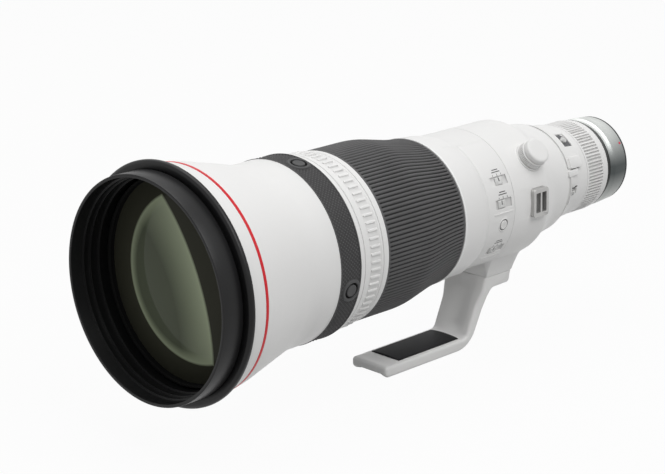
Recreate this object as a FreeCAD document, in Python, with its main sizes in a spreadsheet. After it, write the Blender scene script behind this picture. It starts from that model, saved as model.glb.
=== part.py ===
"""Super telephoto lens with a rotating tripod collar, built in its own frame.

The optical axis is Y, with the front facing -Y, and +Z is up. The origin is the centre of the rear
mounting face. Places along the lens are stations: distances behind the front rim, in millimetres.
Angles round the axis run from +X towards +Z.
"""

import FreeCAD, Part
import os
import re
import Sketcher

SIZES = [
    # Clearances between pieces
    ("seat_gap", 0.05),
    ("running_gap", 0.08),
    ("end_play", 0.3),
    # Front tube, its baffles and the flange behind it
    ("rim_wall", 2.4),
    ("hood_seat_length", 16.4),
    ("hood_groove_length", 1.2),
    ("flange_length", 4.8),
    ("flange_radius", 84.0),
    ("flange_height", 5.9),
    ("flange_bevel", 1.0),
    ("baffle_pitch", 10.0),
    ("baffle_width", 1.5),
    ("baffle_height", 1.3),
    ("baffle_step", 0.8),
    ("housing_step", 1.7),
    ("housing_length", 20.4),
    # Front glass and the ring that holds it
    ("glass_inset", 5.4),
    ("glass_wall", 2.3),
    ("glass_edge", 7.0),
    ("glass_edge_station", 36.0),
    ("glass_front_curve", 240.0),
    ("glass_back_curve", 900.0),
    ("retainer_length", 6.5),
    ("retainer_width", 3.4),
    ("retainer_step", 1.4),
    ("glass_shoulder", 4.0),
    ("glass_seat_length", 6.8),
    # Front barrel, a flared white shell
    ("strip_inset", 3.6),
    ("strip_length", 12.4),
    ("strip_taper", 1.0),
    ("red_ring_width", 2.4),
    ("red_ring_depth", 0.8),
    ("shoulder_length", 2.5),
    ("shoulder_taper", 0.5),
    ("shoulder_arc_length", 14.0),
    ("shoulder_curve", 108.0),
    ("shoulder_drop", 2.95),
    ("cone_length", 30.0),
    ("neck_flare", 2.4),
    ("neck_arc_length", 16.0),
    ("neck_curve", 66.0),
    ("neck_length", 16.4),
    ("neck_height", 8.0),
    ("shell_wall", 2.3),
    # Rubber band with the function buttons
    ("band_length", 19.2),
    ("band_rise", 0.4),
    ("band_thickness", 2.0),
    ("button_radius", 4.8),
    ("button_angle", -12.5),
    ("button_count", 4),
    ("button_setback", 10.9),
    ("button_length", 6.0),
    ("button_proud", 1.0),
    # Preset ring
    ("preset_length", 30.2),
    ("preset_bevel_length", 10.0),
    ("preset_rear_rise", 1.2),
    ("preset_thickness", 4.7),
    # Focus ring, rubber over a metal sleeve
    ("focus_length", 87.5),
    ("focus_hump_length", 43.6),
    ("focus_hump_rise", 0.2),
    ("focus_slope_length", 31.0),
    ("focus_waist_rise", 1.3),
    ("rubber_thickness", 2.2),
    ("sleeve_wall", 2.2),
    ("sleeve_land", 10.0),
    # Main tube, the spine under the rings
    ("tube_wall", 2.3),
    ("tube_overlap", 13.0),
    ("drum_wall", 2.5),
    ("ring_journal_height", 8.5),
    ("tube_radius", 49.5),
    ("tube_step_length", 5.0),
    ("tube_web_length", 3.0),
    ("tube_web_height", 9.2),
    # Mid barrel with the switch panel
    ("mid_length", 57.9),
    ("mid_front_rise", 0.4),
    ("mid_flat_length", 7.8),
    ("brow_height", 2.4),
    ("mid_slope_length", 18.0),
    ("mid_thickness", 3.0),
    ("mid_curve", 60.0),
    ("brow_slope_length", 7.0),
    ("panel_length", 29.0),
    ("panel_depth", 1.7),
    ("panel_low_angle", -56.0),
    ("panel_high_angle", 67.0),
    ("switch_setback", 11.9),
    ("switch_window_length", 17.6),
    ("switch_window_width", 7.0),
    ("switch_window_depth", 1.2),
    ("slider_length", 6.0),
    ("slider_width", 4.6),
    ("slider_height", 1.5),
    ("mode_switch_angle", 27.9),
    ("stabilizer_switch_angle", 9.1),
    ("recall_switch_angle", -33.0),
    ("set_button_angle", -8.8),
    ("set_button_radius", 3.6),
    ("set_button_length", 2.2),
    ("set_button_proud", 0.8),
    ("set_button_well_depth", 0.7),
    # Tube on which the tripod collar turns
    ("journal_step", 4.5),
    ("journal_wall", 2.7),
    ("journal_spigot_length", 10.0),
    ("journal_flange_length", 12.0),
    ("journal_length", 40.0),
    ("journal_tail_drop", 7.5),
    ("journal_tail_length", 7.5),
    ("liner_thickness", 1.5),
    ("liner_inset", 1.0),
    ("liner_length", 32.0),
    # Tripod collar
    ("collar_length", 74.1),
    ("collar_flat_length", 37.8),
    ("collar_shoulder_length", 3.6),
    ("collar_shoulder_drop", 0.7),
    ("collar_shoulder_curve", 9.6),
    ("collar_cone_length", 10.4),
    ("collar_cone_drop", 4.4),
    ("collar_sweep_length", 11.0),
    ("collar_sweep_drop", 2.7),
    ("collar_sweep_curve", 44.0),
    ("collar_rear_drop", 1.6),
    ("collar_gap", 0.8),
    # Foot under the collar
    ("boss_setback", 7.2),
    ("boss_length", 28.4),
    ("boss_width", 40.0),
    ("foot_seat_depth", 61.3),
    ("boss_inset", 1.37),
    ("foot_block_height", 9.0),
    ("foot_block_bevel", 4.5),
    ("foot_width", 35.0),
    ("foot_bottom_depth", 115.0),
    ("plate_thickness", 9.0),
    ("plate_reach", 107.6),
    ("plate_length", 91.0),
    ("plate_bevel", 2.2),
    ("heel_height", 10.5),
    ("stalk_thickness", 10.5),
    ("stalk_inset", 2.0),
    ("stalk_knee_length", 3.6),
    ("stalk_knee_height", 10.7),
    ("stalk_scoop_width", 27.0),
    ("stalk_scoop_depth", 3.2),
    ("lip_scoop_radius", 16.0),
    ("lip_scoop_depth", 3.0),
    ("lip_scoop_length", 16.0),
    ("pad_setback", 17.5),
    ("pad_length", 66.2),
    ("pad_width", 28.0),
    ("pad_recess", 1.5),
    ("pad_side_height", 2.1),
    ("pad_crown", 1.0),
    ("foot_screw_spacing_x", 26.0),
    ("foot_screw_spacing_y", 9.4),
    ("foot_screw_setback", 15.6),
    ("foot_screw_radius", 2.0),
    ("foot_screw_length", 10.0),
    ("foot_screw_head_radius", 3.4),
    ("foot_screw_head_height", 3.0),
    ("foot_screw_head_recess", 0.6),
    ("large_socket_setback", 54.0),
    ("large_socket_radius", 3.97),
    ("small_socket_setback", 32.0),
    ("small_socket_radius", 2.56),
    ("socket_outer_radius", 6.5),
    ("socket_length", 7.0),
    # Lock knob of the collar
    ("knob_setback", 29.1),
    ("knob_angle", 39.5),
    ("knob_boss_radius", 11.6),
    ("knob_boss_proud", 0.7),
    ("knob_boss_height", 4.7),
    ("knob_skirt_radius", 10.8),
    ("knob_skirt_height", 6.5),
    ("knob_cap_radius", 9.0),
    ("knob_cap_height", 4.2),
    ("knob_edge", 1.2),
    ("knob_stem_radius", 3.5),
    ("knob_stem_gap", 0.25),
    # Strap lugs on both sides of the collar
    ("lug_setback", 27.1),
    ("lug_angle", 1.8),
    ("lug_length", 17.0),
    ("lug_width", 22.0),
    ("lug_corner", 3.0),
    ("lug_thickness", 6.6),
    ("lug_proud", 3.0),
    ("lug_floor", 1.0),
    ("lug_slot_length", 5.0),
    ("lug_slot_width", 15.0),
    ("lug_bar_length", 1.8),
    ("lug_bar_thickness", 2.2),
    # Rear barrel with the drop-in filter
    ("rear_length", 32.8),
    ("rear_groove_length", 4.2),
    ("rear_groove_drop", 2.1),
    ("rear_front_rise", 0.5),
    ("rear_arc_length", 19.0),
    ("rear_arc_radius", 36.9),
    ("rear_curve", 61.0),
    ("rear_radius", 36.3),
    ("rear_wall", 3.0),
    ("rear_tail_radius", 33.5),
    ("rear_tail_wall", 2.5),
    ("filter_wall", 2.0),
    ("filter_setback", 15.5),
    ("filter_angle", 62.0),
    ("holder_thickness", 12.0),
    ("holder_radius", 26.2),
    ("filter_radius", 24.0),
    ("filter_thickness", 2.5),
    ("filter_lip", 1.5),
    ("cover_span", 84.0),
    ("cover_margin", 0.4),
    ("cover_length", 21.4),
    ("cover_depth", 3.4),
    ("cover_front_rise", 0.4),
    ("cover_rear_rise", 1.1),
    ("cover_curve", 75.0),
    ("latch_offset_angle", -7.0),
    ("latch_setback", 3.1),
    ("latch_recess_length", 10.0),
    ("latch_recess_width", 13.0),
    ("latch_depth", 2.35),
    ("latch_radius", 2.2),
    ("latch_height", 2.4),
    ("latch_stem_radius", 1.2),
    ("latch_stem_length", 2.0),
    ("rear_panel_length", 14.0),
    ("rear_panel_margin", 1.2),
    ("rear_panel_height", 0.9),
    ("rear_panel_low_angle", -21.0),
    ("rear_panel_gap_angle", 3.5),
    ("focus_mode_angle", -7.5),
    ("focus_mode_window_length", 9.6),
    ("focus_mode_window_width", 4.6),
    ("focus_mode_setback", 7.0),
    ("focus_mode_tilt", 15.0),
    ("focus_mode_depth", 1.405),
    ("focus_mode_slider_length", 4.0),
    ("focus_mode_slider_width", 3.0),
    ("focus_mode_slider_height", 2.9),
    ("focus_mode_travel", 4.2),
    # Control ring, trim and the metal mount sleeve
    ("control_length", 21.1),
    ("control_radius", 36.3),
    ("trim_length", 5.0),
    ("trim_radius", 35.9),
    ("sleeve_length", 25.3),
    ("mount_sleeve_front_radius", 35.6),
    ("mount_sleeve_lip", 1.6),
    ("waist_length", 4.6),
    ("waist_radius", 33.7),
    ("waist_rise_length", 3.8),
    ("waist_curve", 6.5),
    ("mount_sleeve_radius", 35.3),
    ("mount_sleeve_rear_radius", 34.2),
    ("mount_sleeve_wall", 2.6),
    ("mount_web_length", 9.0),
    ("mount_web_radius", 27.3),
    # Bayonet mount
    ("bayonet_proud", 0.4),
    ("bayonet_thickness", 2.5),
    ("bayonet_radius", 33.35),
    ("bayonet_face_radius", 27.4),
    ("bayonet_relief", 0.4),
    ("spigot_radius", 25.4),
    ("spigot_wall", 1.9),
    ("spigot_length", 5.2),
    ("bayonet_lug_radius", 26.9),
    ("bayonet_lug_span", 55.0),
    ("bayonet_lug_thickness", 1.8),
    ("bayonet_lug_gap", 2.6),
    ("bayonet_lug_count", 3),
    ("mount_screw_circle", 30.4),
    ("mount_screw_count", 4),
    ("mount_screw_angle", 45.0),
    ("mount_screw_radius", 1.0),
    ("mount_screw_length", 5.0),
    ("mount_screw_head_radius", 1.9),
    ("mount_screw_head_height", 1.1),
    ("mount_screw_recess", 0.2),
    ("gasket_height", 1.0),
    ("contact_outer_radius", 23.4),
    ("contact_inner_radius", 20.3),
    ("contact_span", 78.0),
    ("contact_length", 11.4),
    ("contact_setback", 0.6),
    ("contact_centre_angle", -90.0),
    ("contact_count", 12),
    ("contact_pitch_angle", 5.6),
    ("contact_pin_radius", 0.75),
    ("contact_pin_length", 2.0),
    ("contact_pin_proud", 0.4),
    # Optical groups inside
    ("second_cell_setback", 2.4),
    ("second_cell_length", 18.0),
    ("cell_lip", 2.0),
    ("cell_lip_length", 2.0),
    ("second_cell_wall", 5.7),
    ("second_glass_edge", 9.0),
    ("second_glass_curve", 210.0),
    ("focus_cell_setback", 11.6),
    ("focus_cell_length", 18.0),
    ("focus_cell_clearance", 0.8),
    ("focus_glass_radius", 33.0),
    ("focus_glass_edge", 7.0),
    ("focus_glass_curve", 120.0),
    ("rod_inset", 5.7),
    ("rod_count", 3),
    ("rod_radius", 2.0),
    ("rod_land", 3.0),
    ("drive_ring_setback", 1.8),
    ("drive_ring_length", 9.0),
    ("drive_ring_wall", 2.2),
    ("iris_length", 12.0),
    ("iris_opening", 27.0),
    ("iris_wall", 8.2),
    ("iris_chamber_length", 4.4),
    ("iris_plate", 3.6),
    ("iris_blade_count", 9),
    ("iris_blade_thickness", 1.2),
    ("iris_blade_gap_angle", 2.0),
    ("iris_ring_thickness", 2.0),
    ("stabilizer_setback", 5.6),
    ("stabilizer_length", 24.0),
    ("stabilizer_plate", 2.5),
    ("stabilizer_opening", 26.0),
    ("stabilizer_wall", 3.8),
    ("carriage_play", 3.5),
    ("carriage_thickness", 3.0),
    ("carriage_opening", 25.0),
    ("stabilizer_cell_inset", 2.0),
    ("stabilizer_cell_flange", 3.0),
    ("stabilizer_cell_length", 12.0),
    ("stabilizer_hub_radius", 24.0),
    ("stabilizer_glass_radius", 20.0),
    ("stabilizer_glass_edge", 4.0),
    ("stabilizer_glass_curve", 90.0),
    ("rear_cell_length", 17.0),
    ("rear_cell_flange", 2.0),
    ("rear_glass_radius", 21.0),
    ("rear_glass_edge", 5.0),
    ("rear_glass_curve", 70.0),
]

doc = FreeCAD.newDocument("super_telephoto_lens")
sheet = doc.addObject("Spreadsheet::Sheet", "Sizes")
for row, (alias, size) in enumerate(SIZES, start=1):
    sheet.set(f"A{row}", alias)
    sheet.set(f"B{row}", str(size))
    sheet.setAlias(f"B{row}", alias)
places = doc.addObject("App::VarSet", "Places")
reader = doc.addObject("App::VarSet", "Reader")
reader.addProperty("App::PropertyFloat", "reading", "Reader", "last formula read")
doc.recompute()

NAMES = {alias: "Sizes." + alias for alias, _ in SIZES}
pieces = []


def formula(text):
    """Return a formula with each size and place written as its cell or property."""
    return re.sub(r"[a-z]\w*", lambda word: NAMES.get(word.group(), word.group()), str(text))


def place(name, text):
    """Name a place or a derived size, worked out from the sizes by a formula."""
    places.addProperty("App::PropertyFloat", name, "Places", text)
    places.setExpression(name, formula(text))
    places.recompute()
    NAMES[name] = "Places." + name


def read(text):
    """Return the number that a formula gives with the present sizes."""
    reader.setExpression("reading", formula(text))
    reader.recompute()
    return reader.reading


def bind(feature, **formulas):
    """Bind properties of a feature to formulas."""
    for name, text in formulas.items():
        feature.setExpression(name, formula(text))
    return feature


def keep(feature, label):
    """Give a finished piece its name and list it for export."""
    feature.Label = label
    pieces.append(feature)
    return feature


def arc_edge(start, end, radius):
    """Return a circular edge; a positive radius has its centre left of the way from start to end."""
    chord = end - start
    middle = (start + end) * 0.5
    left = FreeCAD.Vector(-chord.y, chord.x, 0).normalize()
    height = (radius ** 2 - (chord.Length / 2) ** 2) ** 0.5
    centre = middle + left * (height if radius > 0 else -height)
    first, last = (start, end) if radius > 0 else (end, start)
    circle = Part.Circle(centre, FreeCAD.Vector(0, 0, 1), abs(radius))
    return Part.ArcOfCircle(circle, circle.parameter(first), circle.parameter(last))


def outline(body, plane, name, corners):
    """Draw a closed sketch on one of the body's planes.

    Each corner is a pair of formulas. A third formula makes the edge that leaves it an arc.
    """
    sketch = body.newObject("Sketcher::SketchObject", name)
    base = [item for item in body.Origin.OriginFeatures if item.Role == plane][0]
    sketch.AttachmentSupport = (base, "")
    sketch.MapMode = "FlatFace"
    points = [FreeCAD.Vector(read(corner[0]), read(corner[1]), 0) for corner in corners]
    ends = []
    for index, corner in enumerate(corners):
        start, end = points[index], points[(index + 1) % len(points)]
        radius = read(corner[2]) if len(corner) > 2 else 0
        edge = arc_edge(start, end, radius) if radius else Part.LineSegment(start, end)
        sketch.addGeometry(edge, False)
        ends.append((2, 1) if radius < 0 else (1, 2))
    for index, corner in enumerate(corners):
        following = (index + 1) % len(corners)
        joint = Sketcher.Constraint("Coincident", index, ends[index][1], following, ends[following][0])
        sketch.addConstraint(joint)
        across = Sketcher.Constraint("DistanceX", -1, 1, index, ends[index][0], points[index].x)
        sketch.setExpression(f"Constraints[{sketch.addConstraint(across)}]", formula(corner[0]))
        if corner[1] == "0":
            sketch.addConstraint(Sketcher.Constraint("PointOnObject", index, ends[index][0], -1))
        else:
            up = Sketcher.Constraint("DistanceY", -1, 1, index, ends[index][0], points[index].y)
            sketch.setExpression(f"Constraints[{sketch.addConstraint(up)}]", formula(corner[1]))
        if len(corner) > 2:
            bow = Sketcher.Constraint("Radius", index, abs(read(corner[2])))
            sketch.setExpression(f"Constraints[{sketch.addConstraint(bow)}]", formula(f"abs({corner[2]})"))
    return sketch


def body_on_axis(name):
    """Start a body whose own Y runs in stations behind the front rim."""
    body = doc.addObject("PartDesign::Body", name)
    body.setExpression("Placement.Base.y", formula("-mount_face"))
    return body


def turned(name, corners):
    """Turn a piece about the optical axis from an outline of stations and radii."""
    body = body_on_axis(name)
    sketch = outline(body, "YZ_Plane", name + "_outline", corners)
    turn = body.newObject("PartDesign::Revolution", name + "_turn")
    turn.Profile = sketch
    turn.ReferenceAxis = (sketch, ["H_Axis"])
    turn.Angle = 360
    return body


def tube(name, front, rear, inner, outer):
    """Turn a plain ring between two stations and two radii."""
    return turned(name, [(front, outer), (rear, outer), (rear, inner), (front, inner)])


def lens_glass(name, front, rear, radius, front_curve, back_curve):
    """Turn a lens element whose two faces bulge outwards from its edge stations."""
    body = body_on_axis(name)
    sag_front = f"(({front_curve}) - sqrt(({front_curve})^2 - ({radius})^2))"
    sag_back = f"(({back_curve}) - sqrt(({back_curve})^2 - ({radius})^2))"
    corners = [
        (f"({front}) - {sag_front}", "0", f"-({front_curve})"),
        (front, radius),
        (rear, radius, f"-({back_curve})"),
        (f"({rear}) + {sag_back}", "0"),
    ]
    sketch = outline(body, "YZ_Plane", name + "_outline", corners)
    turn = body.newObject("PartDesign::Revolution", name + "_turn")
    turn.Profile = sketch
    turn.ReferenceAxis = (sketch, ["H_Axis"])
    turn.Angle = 360
    return body


def along_axis(station, angle="0", radius="0"):
    """Return the placement of a shape that points back along the axis."""
    turn = FreeCAD.Rotation(FreeCAD.Vector(0, 0, 1), FreeCAD.Vector(0, 1, 0))
    spin = FreeCAD.Rotation(FreeCAD.Vector(0, -1, 0), read(angle))
    away = spin.multVec(FreeCAD.Vector(read(radius), read(f"{station} - mount_face"), 0))
    return FreeCAD.Placement(away, spin.multiply(turn))


def outward(station, angle, height):
    """Return the placement of a shape that points away from the axis.

    Its own X runs back along the lens, and its own Y round it towards larger angles.
    """
    spin = FreeCAD.Rotation(FreeCAD.Vector(0, -1, 0), read(angle))
    away = spin.multVec(FreeCAD.Vector(1, 0, 0))
    round_it = spin.multVec(FreeCAD.Vector(0, 0, 1))
    turn = FreeCAD.Rotation(FreeCAD.Vector(0, 1, 0), round_it, away, "ZXY")
    spot = away * read(height) + FreeCAD.Vector(0, read(f"{station} - mount_face"), 0)
    return FreeCAD.Placement(spot, turn)


def downward(station, x, depth):
    """Return the placement of a shape that points down from a depth below the axis."""
    turn = FreeCAD.Rotation(FreeCAD.Vector(0, 0, 1), FreeCAD.Vector(0, 0, -1))
    spot = FreeCAD.Vector(read(x), read(f"{station} - mount_face"), -read(depth))
    return FreeCAD.Placement(spot, turn)


def cylinder(name, radius, height, where):
    """Make a cylinder from two formulas at a placement."""
    solid = bind(doc.addObject("Part::Cylinder", name), Radius=radius, Height=height)
    solid.Placement = where
    return solid


def block(name, length, width, height, where):
    """Make a box centred on its own X and Y, standing on a placement."""
    solid = bind(doc.addObject("Part::Box", name), Length=length, Width=width, Height=height)
    shift = FreeCAD.Vector(-read(length) / 2, -read(width) / 2, 0)
    solid.Placement = where.multiply(FreeCAD.Placement(shift, FreeCAD.Rotation()))
    return solid


def sector(name, front, length, low_angle, high_angle, radius):
    """Make a wedge of a cylinder about the axis, between two angles."""
    solid = bind(doc.addObject("Part::Cylinder", name), Radius=radius, Height=length)
    solid.setExpression("Angle", formula(f"({high_angle}) - ({low_angle})"))
    spin = FreeCAD.Rotation(FreeCAD.Vector(0, -1, 0), read(high_angle))
    stand = FreeCAD.Rotation(FreeCAD.Vector(1, 0, 0), -90)
    spot = FreeCAD.Vector(0, read(f"{front} - mount_face"), 0)
    solid.Placement = FreeCAD.Placement(spot, spin.multiply(stand))
    return solid


def fused(name, solids):
    """Join solids into one."""
    whole = doc.addObject("Part::MultiFuse", name)
    whole.Shapes = solids
    whole.Refine = True
    return whole


def cut(name, base, tools):
    """Cut tools out of a base."""
    part = doc.addObject("Part::Cut", name)
    part.Base = base
    part.Tool = tools[0] if len(tools) == 1 else fused(name + "_tools", tools)
    part.Refine = True
    return part


def shared(name, first, second):
    """Keep what two solids share."""
    part = doc.addObject("Part::Common", name)
    part.Base = first
    part.Tool = second
    part.Refine = True
    return part


def group(name, solids):
    """Hold separate solids as one piece."""
    whole = doc.addObject("Part::Compound", name)
    whole.Links = solids
    return whole


def ring_around(count, first="0"):
    """Return the angles of equally spaced copies, as formulas."""
    number = round(read(count))
    return [f"({first}) + {index} * 360 / {count}" for index in range(number)]


def crown(curve, outer, inner):
    """Return how far a domed face rises between two radii, as a formula."""
    return f"(sqrt(({curve})^2 - ({inner})^2) - sqrt(({curve})^2 - ({outer})^2))"


def cell_lip(edge, radius, curve):
    """Return the station of a lip behind a domed lens element whose rear edge is given."""
    return f"{edge} + {crown(curve, radius, f'{radius} - cell_lip')} + seat_gap"


def rounded_block(name, length, width, height, corner, where):
    """Make a box with its four upright corners rounded."""
    plain = block(name + "_block", length, width, height, where)
    plain.recompute()
    upright = where.Rotation.multVec(FreeCAD.Vector(0, 0, 1))
    edges = []
    for index, edge in enumerate(plain.Shape.Edges, start=1):
        line = edge.Vertexes[1].Point - edge.Vertexes[0].Point
        if abs(abs(line.normalize().dot(upright)) - 1) < 1e-6:
            edges.append((index, read(corner), read(corner)))
    solid = doc.addObject("Part::Fillet", name)
    solid.Base = plain
    solid.Edges = edges
    return solid


def padded(body, name, corners, width):
    """Pad a side outline of the foot to both sides of the middle plane."""
    sketch = outline(body, "YZ_Plane", name + "_outline", corners)
    pad = body.newObject("PartDesign::Pad", name)
    pad.Profile = sketch
    pad.SideType = "Symmetric"
    pad.setExpression("Length", formula(width))
    return pad


def turned_outwards(name, corners, where):
    """Turn a piece about its own height axis and stand it on a placement; corners are radius, height."""
    body = doc.addObject("PartDesign::Body", name)
    sketch = outline(body, "XZ_Plane", name + "_outline", corners)
    turn = body.newObject("PartDesign::Revolution", name + "_turn")
    turn.Profile = sketch
    turn.ReferenceAxis = (sketch, ["V_Axis"])
    turn.Angle = 360
    body.Placement = where
    return body


# Stations of the sections, from the front rim to the mounting face
place("flange_front", "hood_seat_length + hood_groove_length")
place("flange_rear", "flange_front + flange_length")
place("barrel_front", "flange_rear + end_play")
place("red_front", "barrel_front + strip_length")
place("red_rear", "red_front + red_ring_width")
place("shoulder_rear", "red_rear + shoulder_length")
place("cone_front", "shoulder_rear + shoulder_arc_length")
place("cone_rear", "cone_front + cone_length")
place("neck_front", "cone_rear + neck_arc_length")
place("neck_rear", "neck_front + neck_length")
place("band_rear", "neck_rear + band_length")
place("preset_front", "band_rear + end_play")
place("preset_rear", "preset_front + preset_length")
place("focus_front", "preset_rear + end_play")
place("focus_hump_end", "focus_front + focus_hump_length")
place("focus_slope_end", "focus_hump_end + focus_slope_length")
place("focus_rear", "focus_front + focus_length")
place("mid_front", "focus_rear + end_play")
place("mid_rear", "mid_front + mid_length")
place("panel_front", "mid_rear - panel_length")
place("collar_front", "mid_rear + end_play")
place("collar_flat_end", "collar_front + collar_flat_length")
place("collar_cone_front", "collar_flat_end + collar_shoulder_length")
place("collar_cone_end", "collar_cone_front + collar_cone_length")
place("collar_sweep_end", "collar_cone_end + collar_sweep_length")
place("collar_rear", "collar_front + collar_length")
place("rear_front", "collar_rear + end_play")
place("cover_front", "rear_front + rear_groove_length")
place("rear_end", "rear_front + rear_length")
place("control_front", "rear_end + end_play")
place("control_rear", "control_front + control_length")
place("trim_front", "control_rear + end_play")
place("trim_rear", "trim_front + trim_length")
place("sleeve_rear", "trim_rear + sleeve_length")
place("mount_face", "sleeve_rear + bayonet_proud")

# Radii of the front, stepped down from the flange
place("rim_radius", "flange_radius - flange_height")
place("housing_radius", "rim_radius - housing_step")
place("glass_radius", "housing_radius - glass_inset")
place("housing_tail_radius", "glass_radius + glass_wall")
place("strip_front_radius", "flange_radius - strip_inset")
place("red_ring_radius", "strip_front_radius - strip_taper")
place("shoulder_radius", "red_ring_radius - shoulder_taper")
place("cone_front_radius", "shoulder_radius - shoulder_drop")

# Radii of the rings, the mid barrel and the neck, built up on the main tube
place("ring_journal_radius", "tube_radius + ring_journal_height")
place("neck_radius", "ring_journal_radius + neck_height")
place("cone_rear_radius", "neck_radius + neck_flare")
place("band_radius", "neck_radius + band_rise")
place("preset_rear_radius", "ring_journal_radius + preset_thickness")
place("preset_waist_radius", "preset_rear_radius + preset_rear_rise")
place("focus_hump_radius", "preset_rear_radius + focus_hump_rise")
place("mid_radius", "tube_radius + mid_thickness")
place("mid_flat_radius", "mid_radius + brow_height")
place("mid_front_radius", "mid_flat_radius + mid_front_rise")
place("focus_waist_radius", "mid_front_radius + focus_waist_rise")

# Radii of the journal, the collar and the front of the rear barrel
place("journal_radius", "tube_radius - journal_step")
place("journal_tail_radius", "journal_radius - journal_tail_drop")
place("collar_shoulder_radius", "mid_radius - collar_shoulder_drop")
place("collar_cone_radius", "collar_shoulder_radius - collar_cone_drop")
place("collar_sweep_radius", "collar_cone_radius - collar_sweep_drop")
place("collar_rear_radius", "collar_sweep_radius - collar_rear_drop")
place("rear_groove_radius", "collar_rear_radius - rear_groove_drop")
place("rear_front_radius", "rear_groove_radius + rear_front_rise")
place("cover_front_radius", "rear_front_radius + cover_front_rise")
place("cover_rear_radius", "rear_arc_radius + cover_rear_rise")

# Front tube, flange and front glass
place("bay_radius", "rim_radius - rim_wall")
place("retainer_outer", "glass_radius + retainer_step")
place("retainer_inner", "retainer_outer - retainer_width")
place("retainer_rise", crown("glass_front_curve", "glass_radius", "retainer_inner"))
place("retainer_rear", "glass_edge_station - retainer_rise - seat_gap")
place("retainer_front", "retainer_rear - retainer_length")
place("glass_rear_edge", "glass_edge_station + glass_edge")
place("glass_lip_radius", "glass_radius - glass_shoulder")
place("glass_lip_rise", crown("glass_back_curve", "glass_radius", "glass_lip_radius"))
place("glass_lip_station", "glass_rear_edge + glass_lip_rise + seat_gap")
place("hood_tube_end", "glass_lip_station + glass_seat_length")
place("ridge_front", "baffle_pitch - baffle_width")
keep(turned("hood_tube", [
    ("0", "rim_radius"),
    ("hood_seat_length", "rim_radius"),
    ("hood_seat_length", "housing_radius"),
    ("hood_seat_length + housing_length", "housing_radius"),
    ("hood_seat_length + housing_length", "housing_tail_radius"),
    ("hood_tube_end", "housing_tail_radius"),
    ("hood_tube_end", "glass_lip_radius"),
    ("glass_lip_station", "glass_lip_radius"),
    ("glass_lip_station", "glass_radius + seat_gap"),
    ("retainer_rear", "glass_radius + seat_gap"),
    ("retainer_rear", "retainer_outer + seat_gap"),
    ("retainer_front", "retainer_outer + seat_gap"),
    ("retainer_front", "bay_radius - 2 * baffle_step"),
    ("2 * baffle_pitch", "bay_radius - 2 * baffle_step"),
    ("2 * baffle_pitch", "bay_radius - baffle_step - baffle_height"),
    ("2 * baffle_pitch - baffle_width", "bay_radius - baffle_step - baffle_height"),
    ("2 * baffle_pitch - baffle_width", "bay_radius - baffle_step"),
    ("baffle_pitch", "bay_radius - baffle_step"),
    ("baffle_pitch", "bay_radius - baffle_height"),
    ("ridge_front", "bay_radius - baffle_height"),
    ("ridge_front", "bay_radius"),
    ("0", "bay_radius"),
]), "hood_tube")
keep(turned("flange_ring", [
    ("flange_front", "flange_radius - 2 * flange_bevel"),
    ("flange_front + flange_bevel", "flange_radius"),
    ("flange_rear - flange_bevel", "flange_radius"),
    ("flange_rear", "flange_radius - flange_bevel"),
    ("flange_rear", "housing_radius + seat_gap"),
    ("flange_front", "housing_radius + seat_gap"),
]), "flange_ring")
keep(tube("glass_retainer", "retainer_front", "retainer_rear", "retainer_inner", "retainer_outer"),
     "glass_retainer")
keep(lens_glass("front_glass", "glass_edge_station", "glass_rear_edge", "glass_radius",
                "glass_front_curve", "glass_back_curve"), "front_glass")

# Front barrel and its red ring
place("red_floor", "red_ring_radius - red_ring_depth")
keep(turned("front_barrel", [
    ("barrel_front", "strip_front_radius"),
    ("red_front", "red_ring_radius"),
    ("red_front", "red_floor"),
    ("red_rear", "red_floor"),
    ("red_rear", "red_ring_radius"),
    ("shoulder_rear", "shoulder_radius", "-shoulder_curve"),
    ("cone_front", "cone_front_radius"),
    ("cone_rear", "cone_rear_radius", "neck_curve"),
    ("neck_front", "neck_radius"),
    ("neck_rear", "neck_radius"),
    ("neck_rear", "neck_radius - shell_wall"),
    ("neck_front", "neck_radius - shell_wall"),
    ("cone_rear", "cone_rear_radius - shell_wall"),
    ("cone_front", "cone_front_radius - shell_wall"),
    ("shoulder_rear", "housing_radius + seat_gap"),
    ("barrel_front", "housing_radius + seat_gap"),
]), "front_barrel")
keep(tube("red_ring", "red_front", "red_rear", "red_floor + seat_gap", "red_ring_radius"), "red_ring")

# Main tube with its drum, the rubber band and the function buttons
place("drum_radius", "band_radius - band_thickness - seat_gap")
place("spigot_in_neck", "neck_radius - shell_wall - seat_gap")
place("tube_inner", "tube_radius - tube_wall")
place("tube_web_radius", "tube_inner - tube_web_height")
place("rod_circle", "tube_inner - rod_inset")
place("drum_inner", "drum_radius - drum_wall")
place("ring_journal_inner", "ring_journal_radius - tube_wall")
place("tube_step", "focus_front + sleeve_land")
place("tube_step_end", "tube_step + tube_step_length")
place("tube_end", "mid_rear - journal_flange_length")
place("iris_station", "tube_end - journal_spigot_length - end_play - iris_length")
place("button_station", "neck_rear + button_setback")
place("button_top", "band_radius + button_proud")
main_tube_turned = turned("main_tube_turned", [
    ("neck_rear - tube_overlap", "spigot_in_neck"),
    ("neck_rear", "spigot_in_neck"),
    ("neck_rear", "drum_radius"),
    ("band_rear", "drum_radius"),
    ("band_rear", "ring_journal_radius"),
    ("tube_step", "ring_journal_radius"),
    ("tube_step_end", "tube_radius"),
    ("tube_end", "tube_radius"),
    ("tube_end", "tube_inner"),
    ("tube_step_end + tube_web_length", "tube_inner"),
    ("tube_step_end + tube_web_length", "tube_web_radius"),
    ("tube_step_end", "tube_web_radius"),
    ("tube_step_end - tube_wall", "tube_inner"),
    ("tube_step - tube_wall", "ring_journal_inner"),
    ("band_rear", "ring_journal_inner"),
    ("band_rear - drum_wall", "drum_inner"),
    ("neck_rear - tube_overlap", "drum_inner"),
])
band_turned = tube("band_turned", "neck_rear", "band_rear", "drum_radius + seat_gap", "band_radius")
button_wells = []
band_wells = []
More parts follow.
